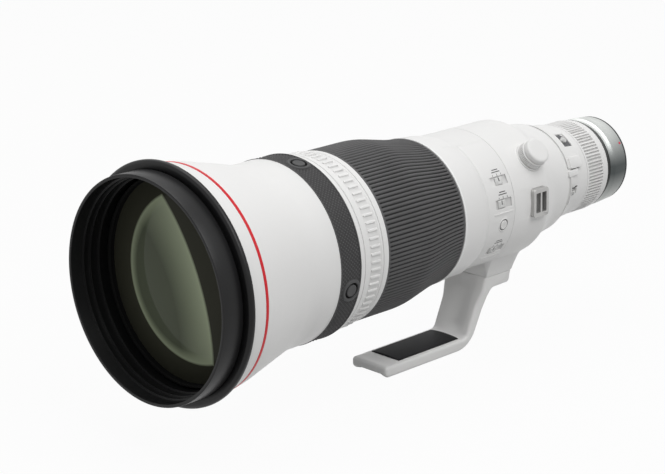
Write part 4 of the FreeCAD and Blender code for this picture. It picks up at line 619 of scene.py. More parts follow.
class Maker:
    """Collects the faces of one piece and turns them into an object of the scene."""

    def __init__(self) -> None:
        """Start with an empty mesh."""
        self.mesh = bmesh.new()

    def skin(self, rows: Sequence[Sequence[Vector]], closed_rows: bool, closed_columns: bool) -> None:
        """Add a sheet of quads over a grid of points.

        Args:
            rows: the points, row by row.
            closed_rows: whether the last row joins the first.
            closed_columns: whether the last column joins the first.
        """
        grid = [[self.mesh.verts.new(point) for point in row] for row in rows]
        row_count, column_count = len(grid), len(grid[0])
        for i in range(row_count if closed_rows else row_count - 1):
            for j in range(column_count if closed_columns else column_count - 1):
                k, m = (i + 1) % row_count, (j + 1) % column_count
                self.mesh.faces.new((grid[i][j], grid[i][m], grid[k][m], grid[k][j]))

    def capped(self, rows: Sequence[Sequence[Vector]]) -> "Maker":
        """Add a sheet round closed rows and a face over each end.

        Args:
            rows: the points, row by row.

        Returns:
            This maker.
        """
        self.skin(rows, False, True)
        for ring in (rows[-1], rows[0][::-1]):
            self.mesh.faces.new([self.mesh.verts.new(point) for point in ring])
        return self

    def lathe(self, outline: Sequence[Pair], segments: int = 288, where: Matrix | None = None,
              swell: Callable[[float, float, float], float] | None = None) -> "Maker":
        """Turn a closed outline of stations and radii about the axis.

        Args:
            outline: the outline's points; with where, heights and radii instead.
            segments: number of steps round the axis.
            where: a local frame whose Z is the axis, for a small turned piece.
            swell: change of radius for a station, a radius and an angle in degrees.

        Returns:
            This maker.
        """
        rows = []
        for along, radius in outline:
            row = []
            for index in range(segments):
                angle = FULL_TURN * index / segments
                reach = radius + (swell(along, radius, angle) if swell else 0.0)
                if where is None:
                    row.append(spot(along, angle, reach))
                else:
                    turn = math.radians(angle)
                    row.append(where @ Vector((reach * math.cos(turn), reach * math.sin(turn), along)))
            rows.append(row)
        self.skin(rows, True, True)
        return self

    def bump(self, place: Matrix, length: float, width: float, height: float, bend: float = 0.0,
             ease: float = 0.2, sink: float = 0.15) -> "Maker":
        """Add a raised bar with eased edges.

        Args:
            place: local frame in the middle of the bar's foot.
            length: size along the lens.
            width: size round the lens.
            height: how far it stands out.
            bend: radius of the surface that it follows, or 0 for a flat one.
            ease: width of the eased edge.
            sink: how far its foot reaches below the surface.

        Returns:
            This maker.
        """
        inset = min(ease, 0.3 * length, 0.3 * width)
        brow = height - 0.3 * inset if height > inset else 0.7 * height
        levels = ((0.0, -sink), (0.0, max(height - inset, 0.0)), (0.3 * inset, brow), (inset, height))
        rows = []
        for shrink, lift in levels:
            half_x, half_y = length / 2 - shrink, width / 2 - shrink
            corner = max(inset - shrink, 0.05)
            ring = []
            for sx, sy, first in ((1, 1, 0), (-1, 1, 90), (-1, -1, 180), (1, -1, 270)):
                for step in range(4):
                    turn = math.radians(first + 30 * step)
                    ring.append((sx * (half_x - corner) + corner * math.cos(turn),
                                 sy * (half_y - corner) + corner * math.sin(turn)))
            rows.append([place @ self.bent(x, y, lift, bend) for x, y in ring])
        return self.capped(rows)

    @staticmethod
    def bent(x: float, y: float, lift: float, bend: float) -> Vector:
        """Wrap a point of a flat frame on a cylinder.

        Args:
            x: place along the cylinder.
            y: place round it, measured on its surface.
            lift: height above its surface.
            bend: its radius, or 0 for none.

        Returns:
            The wrapped point.
        """
        if not bend:
            return Vector((x, y, lift))
        turn = y / bend
        return Vector((x, (bend + lift) * math.sin(turn), (bend + lift) * math.cos(turn) - bend))

    def plate(self, outline: Sequence[Pair], place: Matrix, thickness: float) -> "Maker":
        """Add a flat plate.

        Args:
            outline: its outline in a local frame.
            place: the local frame.
            thickness: how far it stands out.

        Returns:
            This maker.
        """
        return self.capped([[place @ Vector((x, y, lift)) for x, y in outline] for lift in (0, thickness)])

    def sweep(self, outline: Sequence[Pair], half_width: Callable[[float, float], float], edge: float,
              dip: Callable[[float, float, float, Vector], float]) -> "Maker":
        """Sweep a closed side outline across the lens, with rounded sides and dips in its faces.

        Args:
            outline: stations and heights of the side outline.
            half_width: half the width at a station and a height.
            edge: radius of the rounding at both sides.
            dip: depth at a station, a height, a place across and an inward direction.

        Returns:
            This maker.
        """
        points = [Vector(point) for point in outline]
        count = len(points)
        turning = sum(a.cross(b) for a, b in zip(points, points[1:] + points[:1]))
        inward = []
        for index in range(count):
            along = points[(index + 1) % count] - points[index - 1]
            inward.append(Vector((-along.y, along.x)).normalized() * math.copysign(1, turning))
        turns = [math.radians(turn) for turn in evenly(0.0, 22.5, 5)]
        places = [(-1.0, 1 - math.cos(t), 1 - math.sin(t)) for t in turns]
        places += [(-1 + k / 12, 1.0, 0.0) for k in range(1, 24)]
        places += [(1.0, 1 - math.cos(t), 1 - math.sin(t)) for t in reversed(turns)]
        rows = []
        for side, rounding, inset in places:
            row = []
            for point, way in zip(points, inward):
                across = side * (half_width(point.x, point.y) - edge * rounding)
                sunk = point + way * (edge * inset + dip(point.x, point.y, across, way))
                row.append(Vector((across, sunk.x - MOUNT_STATION, sunk.y)))
            rows.append(row)
        return self.capped(rows)

    def finish(self, name: str, body: Body, finish: Finish, stands_for: Sequence[str] = (),
               sharp: float = 38.0) -> bpy.types.Object:
        """Turn the faces into an object that rides on a body.

        Args:
            name: name of the piece.
            body: the body that it moves with.
            finish: its finish.
            stands_for: CAD nodes that it replaces.
            sharp: edges that turn more than this many degrees stay sharp.

        Returns:
            The new object.
        """
        bmesh.ops.scale(self.mesh, vec=(MILLIMETRE,) * 3, verts=self.mesh.verts)
        bmesh.ops.remove_doubles(self.mesh, verts=self.mesh.verts, dist=1e-7)
        bmesh.ops.recalc_face_normals(self.mesh, faces=self.mesh.faces)
        data = bpy.data.meshes.new(name)
        self.mesh.to_mesh(data)
        self.mesh.free()
        data.shade_smooth()
        data.set_sharp_from_angle(angle=math.radians(sharp))
        return settle(placed(name, data), body, finish, stands_for)


def settle(piece: bpy.types.Object, body: Body, finish: Finish,
           stands_for: Sequence[str] = ()) -> bpy.types.Object:
    """Give a piece its finish and its body, and log it.

    Args:
        piece: the object.
        body: the body that it moves with.
        finish: its finish.
        stands_for: CAD nodes that it replaces.

    Returns:
        The same object.
    """
    piece.data.materials.clear()
    piece.data.materials.append(finish.material())
    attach(piece, body.value)
    if stands_for:
        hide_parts(*stands_for)
    log.info("%s rides on %s", piece.name, body.value)
    return piece


def softened(node: str, name: str, body: Body, finish: Finish, width: float = 0.5,
             limit: float = 30.0) -> bpy.types.Object:
    """Make a copy of a CAD node with rounded edges, which stands for the node.

    Args:
        node: name of the CAD node.
        name: name of the new piece.
        body: the body that it moves with.
        finish: its finish.
        width: width of the rounding in millimetres.
        limit: edges that turn more than this many degrees are rounded.

    Returns:
        The new piece.
    """
    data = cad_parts[node].data.copy()
    data.name = name
    work = bmesh.new()
    work.from_mesh(data)
    bmesh.ops.remove_doubles(work, verts=work.verts, dist=2e-6)
    bmesh.ops.dissolve_limit(work, angle_limit=math.radians(0.6), verts=work.verts, edges=work.edges)
    work.to_mesh(data)
    work.free()
    piece = placed(name, data)
    rounding = piece.modifiers.new("rounding", "BEVEL")
    rounding.width = width * MILLIMETRE
    rounding.segments = 3
    rounding.limit_method = "ANGLE"
    rounding.angle_limit = math.radians(limit)
    rounding.miter_outer = "MITER_ARC"
    depsgraph = bpy.context.evaluated_depsgraph_get()
    final = bpy.data.meshes.new_from_object(piece.evaluated_get(depsgraph))
    piece.modifiers.clear()
    piece.data = final
    final.shade_smooth()
    final.set_sharp_from_angle(angle=math.radians(limit))
    return settle(piece, body, finish, [node])


def dress(finish: Finish, *nodes: str) -> None:
    """Give CAD nodes that keep their own shape a finish.

    Args:
        finish: the finish.
        nodes: names of the CAD nodes.
    """
    for node in nodes:
        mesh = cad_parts[node].data
        mesh.materials.clear()
        mesh.materials.append(finish.material())
        log.info("%s keeps its shape, in %s", node, finish.name)


@dataclass
class FrontTube:
    """Black front tube with stepped baffles, its flange, the retaining ring and the front glass.

    The flange has a front, a rear and a radius, the retaining ring a front, an inner and an outer radius.
    Each baffle is given by the station of its rear.
    """

    rim_radius: float = 78.1
    rim_wall: float = 2.4
    seat_length: float = 16.4
    housing_radius: float = 76.4
    housing_end: float = 43.0
    flange: Triple = (17.6, 22.4, 83.98)
    baffles: tuple[float, ...] = (23.5, 16.3, 11.0)
    baffle_width: float = 1.2
    baffle_height: float = 1.3
    baffle_step: float = 0.55
    glass_radius: float = 71.0
    glass_edge: Pair = (33.5, 43.0)
    front_curve: float = 240.0
    retainer: Triple = (29.0, 70.6, 72.4)
    trap_grooves: int = 3
    trap_rise: float = 2.2

    def build(self) -> None:
        """Build the tube, its flange, its lining rings and the glass."""
        self.tube()
        self.flange_ring()
        self.retaining_ring()
        self.glass()

    def tube(self) -> None:
        """Build the tube with its baffle ridges."""
        bay = self.rim_radius - self.rim_wall
        outline = [(0.0, self.rim_radius), (self.seat_length, self.rim_radius),
                   (self.seat_length, self.housing_radius), (self.housing_end, self.housing_radius),
                   (self.housing_end, bay - len(self.baffles) * self.baffle_step)]
        for index, end in enumerate(self.baffles):
            floor = bay - (len(self.baffles) - index) * self.baffle_step
            tip = floor + self.baffle_step - self.baffle_height
            outline += [(end, floor), (end, tip), (end - self.baffle_width, tip),
                        (end - self.baffle_width, floor + self.baffle_step)]
        outline.append((0.0, bay))
        Maker().lathe(eased(outline, rounding=0.45), RING_STEPS).finish(
            "black_front_tube", Body.BARREL, BLACK_SATIN, ["hood_tube"])

    def flange_ring(self) -> None:
        """Build the flange with its rounded rim."""
        front, rear, radius = self.flange
        outline = [(front, self.housing_radius), (front, radius - 2.2), (front + 0.9, radius - 0.5),
                   (front + 1.9, radius), (rear - 1.1, radius), (rear, radius - 1.1),
                   (rear, self.housing_radius)]
        Maker().lathe(eased(outline, rounding=0.5), RING_STEPS).finish(
            "black_flange_ring", Body.BARREL, BLACK_SATIN, ["flange_ring"])

    def retaining_ring(self) -> None:
        """Build the retaining ring with fine light-trap grooves on its front cone."""
        front, inner, outer = self.retainer
        outline = [(front + 4.3, inner), (front + 4.3, outer), (front, outer)]
        for index in range(self.trap_grooves):
            share = index / self.trap_grooves
            radius = outer - 0.6 - share * (outer - inner - 0.9)
            outline += [(front + start + self.trap_rise * share, radius) for start in (0.1, 0.55)]
        Maker().lathe(outline).finish("glass_retaining_ring", Body.BARREL, BLACK_MATT, ["glass_retainer"])

    def glass(self) -> None:
        """Build the front glass with its domed face."""
        front, rear = self.glass_edge
        rise = self.front_curve - math.sqrt(self.front_curve ** 2 - self.glass_radius ** 2)
        face = arc((front - rise, 0.0), (front, self.glass_radius), -self.front_curve, 40)
        outline = face + [(front, self.glass_radius), (rear, self.glass_radius), (rear, 0.0)]
        Maker().lathe(outline, SLEEVE_STEPS).finish("front_glass_dome", Body.BARREL, FRONT_GLASS,
                                                    ["front_glass"])


@dataclass
class FrontBarrel:
    """Flared white shell with its red ring, the rubber band and the function buttons.

    The shell's outside goes from its shoulder over the red ring's groove to the ends of two arcs and the
    band. The band has a front, a rear and a radius. The well round a button and the well's border have a
    reach beyond the button and a depth.
    """

    shoulder: Pair = (22.7, 80.4)
    outside: tuple[Pair, ...] = ((40.0, 78.9), (54.0, 75.95), (84.0, 68.4), (100.0, 66.0), (116.4, 66.0))
    inside: tuple[Pair, ...] = ((116.4, 63.8), (100.0, 63.8), (84.0, 66.2), (54.0, 73.8), (40.0, 76.5),
                                (22.7, 76.5))
    bulge_curve: float = 108.0
    neck_curve: float = 66.0
    red_ring: Pair = (35.1, 37.5)
    red_radius: float = 79.4
    red_sides: Pair = (79.42, 79.3)
    red_gap: float = 0.06
    band: Triple = (116.4, 135.6, 66.4)
    band_edge: float = 0.7
    band_ease: float = 0.25
    band_rows: int = 44
    band_wall: float = 2.0
    button_station: float = 127.3
    button_radius: float = 5.9
    button_rise: float = 0.45
    cap_radius: float = 4.4
    button_angles: tuple[float, ...] = (-12.5, 77.5, 167.5, 257.5)
    well: Pair = (0.8, 1.9)
    well_border: Pair = (2.7, 0.25)
    knurl_pitch: float = 3.0
    knurl_depth: float = 0.85

    def build(self) -> None:
        """Build the shell, the ring, the band and the buttons."""
        self.shell()
        self.ring()
        self.knurled_band()
        for number, angle in enumerate(self.button_angles, start=1):
            self.button(number, angle)

    def shell(self) -> None:
        """Build the flared shell from its shoulder, cone and neck."""
        groove = self.red_radius - 0.8
        (front, rear), (before, behind) = self.red_ring, self.red_sides
        bulge, cone, flare, neck, end = self.outside
        outline = [self.shoulder, (front, before), (front, groove), (rear, groove), (rear, behind)]
        outline += [*arc(bulge, cone, -self.bulge_curve), cone]
        outline += [*arc(flare, neck, self.neck_curve), neck, end, *self.inside]
        Maker().lathe(eased(outline, rounding=0.35), RING_STEPS).finish(
            "white_front_shell", Body.BARREL, WHITE_PAINT, ["front_barrel"])

    def ring(self) -> None:
        """Build the red ring, a hair prouder than its groove."""
        front, rear = self.red_ring[0] + self.red_gap, self.red_ring[1] - self.red_gap
        low, high = self.red_radius - 0.75, self.red_radius + 0.03
        outline = [(front, low), (front, high), (rear, high), (rear, low)]
        Maker().lathe(eased(outline, rounding=0.2), RING_STEPS).finish(
            "red_line_ring", Body.BARREL, RED_PAINT, ["red_ring"])

    def knurled_band(self) -> None:
        """Build the band as a grid whose points rise and fall in a diamond knurl."""
        front, rear, radius = self.band
        columns = 6 * round(2 * math.pi * radius / self.knurl_pitch)
        pitch = (rear - front - 2 * self.band_edge) / self.band_rows
        stations = [front, front + self.band_ease]
        stations += evenly(front + self.band_edge, pitch, self.band_rows + 1)
        stations += [rear - self.band_ease, rear]
        grid = []
        for index, station in enumerate(stations):
            land = index < 3 or index > self.band_rows + 1
            top = radius - (self.band_ease if index in (0, len(stations) - 1) else 0.0)
            angles = evenly(0.0, FULL_TURN / columns, columns)
            grid.append([spot(station, angle, top - (0.0 if land else self.knurl(station, angle)))
                         for angle in angles])
        grid += [[spot(station, angle, radius - self.band_wall) for angle in angles]
                 for station in (rear, front)]
        maker = Maker()
        maker.skin(grid, True, True)
        maker.finish("knurled_band", Body.BARREL, BAND_RUBBER, ["grip_band"], sharp=80.0)

    def knurl(self, station: float, angle: float) -> float:
        """Return how deep the knurl lies at a place, with a flat well round each button.

        Args:
            station: place along the lens.
            angle: place round the axis.

        Returns:
            The depth below the band's top.
        """
        radius, pitch = self.band[2], self.knurl_pitch
        for button in self.button_angles:
            aside = math.radians((angle - button + 180) % FULL_TURN - 180) * radius
            away = math.hypot(aside, station - self.button_station) - self.button_radius
            for reach, depth in (self.well, self.well_border):
                if away < reach:
                    return depth
        around = math.radians(angle) * radius
        return self.knurl_depth * max(abs((way / pitch) % 1.0 - 0.5) * 2
                                      for way in (around + station, around - station))

    def button(self, number: int, angle: float) -> None:
        """Build a button's dished cap, the wide gap with its near-black floor of painted shade, and the
        bezel round it.

        Args:
            number: the button's number, from 1.
            angle: its place round the band.
        """
        wide, small = self.button_radius, self.cap_radius
        top = self.band[2] + self.button_rise
        here = seat(self.button_station, angle, 0.0)
        bezel = [(top - 2.1, wide), (top - 0.3, wide), (top - 0.05, wide + 0.3), (top, wide + 0.9),
                 (top - 0.05, wide + 1.6), (top - 0.5, wide + 2.2), (top - 2.1, wide + 2.4)]
        Maker().lathe(eased(bezel, rounding=0.2), SMALL_STEPS, here).finish(
            f"button_bezel_{number}", Body.BARREL, BUTTON)
        # Painted shade: a near-black disc at the bottom of the gap stands for the shade there.
        gap = [(top - 2.0, 0.0), (top - 2.0, wide + 0.2), (top - 1.5, wide + 0.2), (top - 1.5, 0.0)]
        Maker().lathe(gap, SMALL_STEPS, here).finish(f"button_gap_{number}", Body.BARREL, BUTTON_GAP_SHADE)
        cap = [(top - 4.2, 0.0), (top - 4.2, small), (top - 0.3, small), (top + 0.05, small - 0.4),
               (top, small - 1.2), (top - 0.15, 0.0)]
        body = Body(f"function_button_{number}")
        Maker().lathe(eased(cap, rounding=0.25), SMALL_STEPS, here).finish(
            f"button_cap_{number}", body, BUTTON, [body.value])


@dataclass
class Rings:
    """Preset ring with its bars, the ribbed focus ring and the control ring near the mount.

    The preset ring's outline counts its stations from its front, and its bars stand at a station and a
    radius. rib_shape holds the heights across one rib of the focus ring, as shares. The control ring has
    a front, a rear and a radius, and plain lands before and behind its grooves.
    """

    preset_front: float = 135.9
    preset_outline: tuple[Pair, ...] = (
        (0.0, 58.1), (0.0, 66.0), (4.1, 65.45), (4.2, 64.6), (4.8, 64.6), (4.9, 65.3), (10.6, 64.1),
        (11.4, 63.0), (22.6, 62.6), (23.4, 63.3), (24.6, 63.15), (24.7, 62.3), (25.3, 62.3), (25.4, 63.0),
        (30.2, 62.8), (30.2, 58.1))
    bar_count: int = 72
    bar_place: Pair = (152.9, 62.8)
    bar_lean: float = -1.2
    bar_size: Triple = (9.2, 2.0, 1.2)
    focus_outline: tuple[Pair, ...] = ((166.4, 62.7), (210.0, 62.9), (241.0, 56.6), (253.9, 55.3))
    focus_wall: float = 2.2
    focus_rows: int = 46
    focus_easing: float = 6.0
    rib_count: int = 126
    rib_depth: float = 1.35
    rib_shape: tuple[float, ...] = (0.0, 0.0, 0.75, 1.0, 1.0, 1.0, 0.75)
    rib_land: float = 1.4
    rib_run: float = 0.8
    control: Triple = (419.9, 441.0, 36.3)
    control_bore: float = 33.6
    groove_lands: Pair = (2.2, 1.9)
    groove_count: int = 86
    groove_depth: float = 1.3

    def build(self) -> None:
        """Build the three rings."""
        self.preset_ring()
        self.focus_grip()
        self.control_ring()

    def preset_ring(self) -> None:
        """Build the preset ring with two fine grooves and a row of raised bars."""
        outline = [(self.preset_front + along, radius) for along, radius in self.preset_outline]
        maker = Maker().lathe(eased(outline, rounding=0.25), RING_STEPS)
        station, radius = self.bar_place
        for angle in evenly(0.0, FULL_TURN / self.bar_count, self.bar_count):
            maker.bump(seat(station, angle, radius, self.bar_lean), *self.bar_size, bend=radius, ease=0.65)
        maker.finish("white_preset_ring", Body.PRESET, WHITE_PAINT, ["preset_ring"])

    def focus_grip(self) -> None:
        """Build the rubber of the focus ring with long ribs that run out before both ends."""
        corners = [station for station, _ in self.focus_outline]
        front, rear = corners[0], corners[-1]
        start = self.rib_land + self.rib_run
        stations = [front, front + 0.3, front + self.rib_land, front + start]
        stations += evenly(front + 4, (rear - front - 8) / self.focus_rows, self.focus_rows + 1)
        stations += [rear - start, rear - self.rib_land, rear - 0.3, rear]
        columns = self.rib_count * len(self.rib_shape)
        grid = []
        for station in stations:
            ribbed = front + start <= station <= rear - start
            top = self.focus_radius(station) - (0.3 if station in (front, rear) else 0.0)
            depths = [self.rib_depth * (1 - rise) if ribbed else 0.0 for rise in self.rib_shape]
            grid.append([spot(station, FULL_TURN * c / columns, top - depths[c % len(depths)])
                         for c in range(columns)])
        grid += [[spot(s, FULL_TURN * c / columns, self.focus_radius(s) - self.focus_wall)
                  for c in range(columns)] for s in reversed(corners)]
        maker = Maker()
        maker.skin(grid, True, True)
        maker.finish("ribbed_focus_grip", Body.FOCUS, RUBBER, ["focus_rubber"], sharp=50.0)

    def focus_radius(self, station: float) -> float:
        """Return the focus ring's outer radius, eased where its slopes meet.

        Args:
            station: place along the lens.

        Returns:
            The mean radius over a short stretch round the station.
        """
        line = self.focus_outline
        reach = min(self.focus_easing, station - line[0][0], line[-1][0] - station)
        return sum(radius_at(line, station + reach * k / 3) for k in range(-3, 4)) / 7

    def control_ring(self) -> None:
        """Build the control ring with its long grooves."""
        front, rear, radius = self.control
        start, end = front + self.groove_lands[0], rear - self.groove_lands[1]
        outline = [(front, self.control_bore), (front, radius), (start - 0.3, radius), (start, radius),
                   (end, radius), (end + 0.3, radius), (rear, radius), (rear, self.control_bore)]

        def groove(station: float, reach: float, angle: float) -> float:
            """Return how much a groove takes off the radius.

            Args:
                station: place along the lens.
                reach: the radius there.
                angle: place round the axis.

            Returns:
                The change of radius.
            """
            inside = start - 0.01 <= station <= end + 0.01 and reach > radius - 0.1
            share = (angle / FULL_TURN * self.groove_count) % 1.0
            return -self.groove_depth if inside and share < 0.5 else 0.0

        Maker().lathe(outline, self.groove_count * 8, swell=groove).finish(
            "grooved_control_ring", Body.CONTROL, WHITE_PAINT, ["control_ring"])


@dataclass
class SwitchPanel:
    """Mid barrel with the switch panel, its sliders, set button and generic marks.

    A size is a length, a width and a height. A divider has an angle, a width and a height, and a print a
    shift along the lens and a turn from its slider, a length and a width.
    """

    station: float = 300.2
    surface: float = 52.5
    floor: float = 51.3
    front_lip: tuple[Pair, ...] = ((254.25, 53.0), (254.25, 55.7), (255.9, 55.6), (255.9, 53.0))
    sliders: tuple[tuple[Body, float], ...] = ((Body.MODE_SWITCH, 27.9), (Body.STABILIZER_SWITCH, 9.1),
                                               (Body.RECALL_SWITCH, -33.0))
    window: Triple = (17.3, 6.7, 0.1)
    window_depth: float = 0.12
    cap: Triple = (7.6, 5.4, 1.35)
    ridge: Triple = (0.5, 4.6, 0.3)
    ridge_pitch: float = 0.95
    ridges: tuple[int, ...] = (-3, -2, 2, 3)
    index: Triple = (0.9, 3.0, 0.12)
    index_turn: float = 1.1
    set_angle: float = -8.8
    set_cap: tuple[Pair, ...] = ((-1.4, 0.0), (-1.4, 3.5), (0.45, 3.5), (0.8, 3.0), (0.62, 2.2), (0.55, 0.0))
    set_bezel: tuple[Pair, ...] = ((-0.4, 4.4), (0.3, 4.4), (0.45, 4.8), (0.1, 5.5), (-0.4, 5.5))
    set_gap: tuple[Pair, ...] = ((-0.5, 3.7), (0.05, 3.7), (0.05, 4.5), (-0.5, 4.5))
    divider_station: float = 299.4
    divider_length: float = 20.6
    dividers: tuple[Triple, ...] = ((1.4, 1.3, 0.55), (-41.5, 0.9, 0.45))
    prints: tuple[tuple[float, float, float, float], ...] = (
        (-4.6, 5.0, 0.45, 1.4), (0.0, 5.0, 0.45, 2.2), (4.6, 5.0, 0.45, 1.4), (0.0, 7.6, 9.0, 0.7),
        (0.0, 9.5, 6.5, 0.7))
    print_height: float = 0.03

    def build(self) -> None:
        """Build the barrel, the panel and everything on it."""
        softened("mid_barrel", "white_mid_barrel", Body.BARREL, WHITE_PAINT, 0.5)
        softened("switch_panel", "white_switch_panel", Body.BARREL, PANEL_PAINT, 0.25)
        Maker().lathe(eased(self.front_lip, rounding=0.4)).finish("bright_front_lip", Body.BARREL,
                                                                  TRIM_BRIGHT)
        for body, angle in self.sliders:
            self.slider(body, angle)
        self.set_button()
        self.marks()

    def slider(self, body: Body, angle: float) -> None:
        """Build a slider with grip ridges and a dark index line, and the floor under it.

        Args:
            body: the slider's body, which has the name of its node.
            angle: its place round the barrel.
        """
        name, top = body.value, self.floor + self.cap[2]
        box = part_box(name)
        station = (box[0].y + box[1].y) / 2 / MILLIMETRE + MOUNT_STATION
        maker = Maker().bump(seat(station, angle, self.floor), *self.cap, ease=0.35, sink=0.0)
        for place in self.ridges:
            maker.bump(seat(station + place * self.ridge_pitch, angle, top - 0.05), *self.ridge, ease=0.1)
        maker.finish(f"{name}_cap", body, SLIDER, [name])
        Maker().bump(seat(station, angle + self.index_turn, top), *self.index, ease=0.05, sink=0.1).finish(
            f"{name}_index", body, PRINT)
        here = seat(self.station, angle, self.floor - self.window_depth)
        Maker().bump(here, *self.window, ease=0.05, sink=0.0).finish(f"{name}_floor", Body.BARREL, WINDOW)

    def set_button(self) -> None:
        """Build the set button's cap, the ring round it and the dark ring of painted shade in the gap
        between them.
        """
        here = seat(self.station, self.set_angle, self.surface)
        Maker().lathe(eased(self.set_cap, rounding=0.25), SMALL_STEPS, here).finish(
            "set_button_cap", Body.SET_BUTTON, WHITE_BUTTON, ["set_button"])
        Maker().lathe(eased(self.set_bezel, rounding=0.15), SMALL_STEPS, here).finish(
            "set_button_bezel", Body.BARREL, PANEL_PAINT)
        # Painted shade: a dark grey ring in the gap round the cap stands for the shade there.
        Maker().lathe(self.set_gap, SMALL_STEPS, here).finish("set_button_gap", Body.BARREL, SET_GAP_SHADE)

    def marks(self) -> None:
        """Build the raised lines between the fields and the printed position ticks."""
        maker = Maker()
        for angle, width, height in self.dividers:
            maker.bump(seat(self.divider_station, angle, self.surface), self.divider_length, width, height,
                       bend=self.surface, ease=0.3)
        maker.finish("panel_divider", Body.BARREL, PANEL_PAINT)
        for body, angle in self.sliders:
            ticks = Maker()
            for shift, turn, length, width in self.prints:
                ticks.bump(seat(self.station + shift, angle + turn, self.surface), length, width,
                           self.print_height, bend=self.surface, ease=0.02, sink=0.05)
            ticks.finish(f"{body.value}_ticks", Body.BARREL, PRINT)


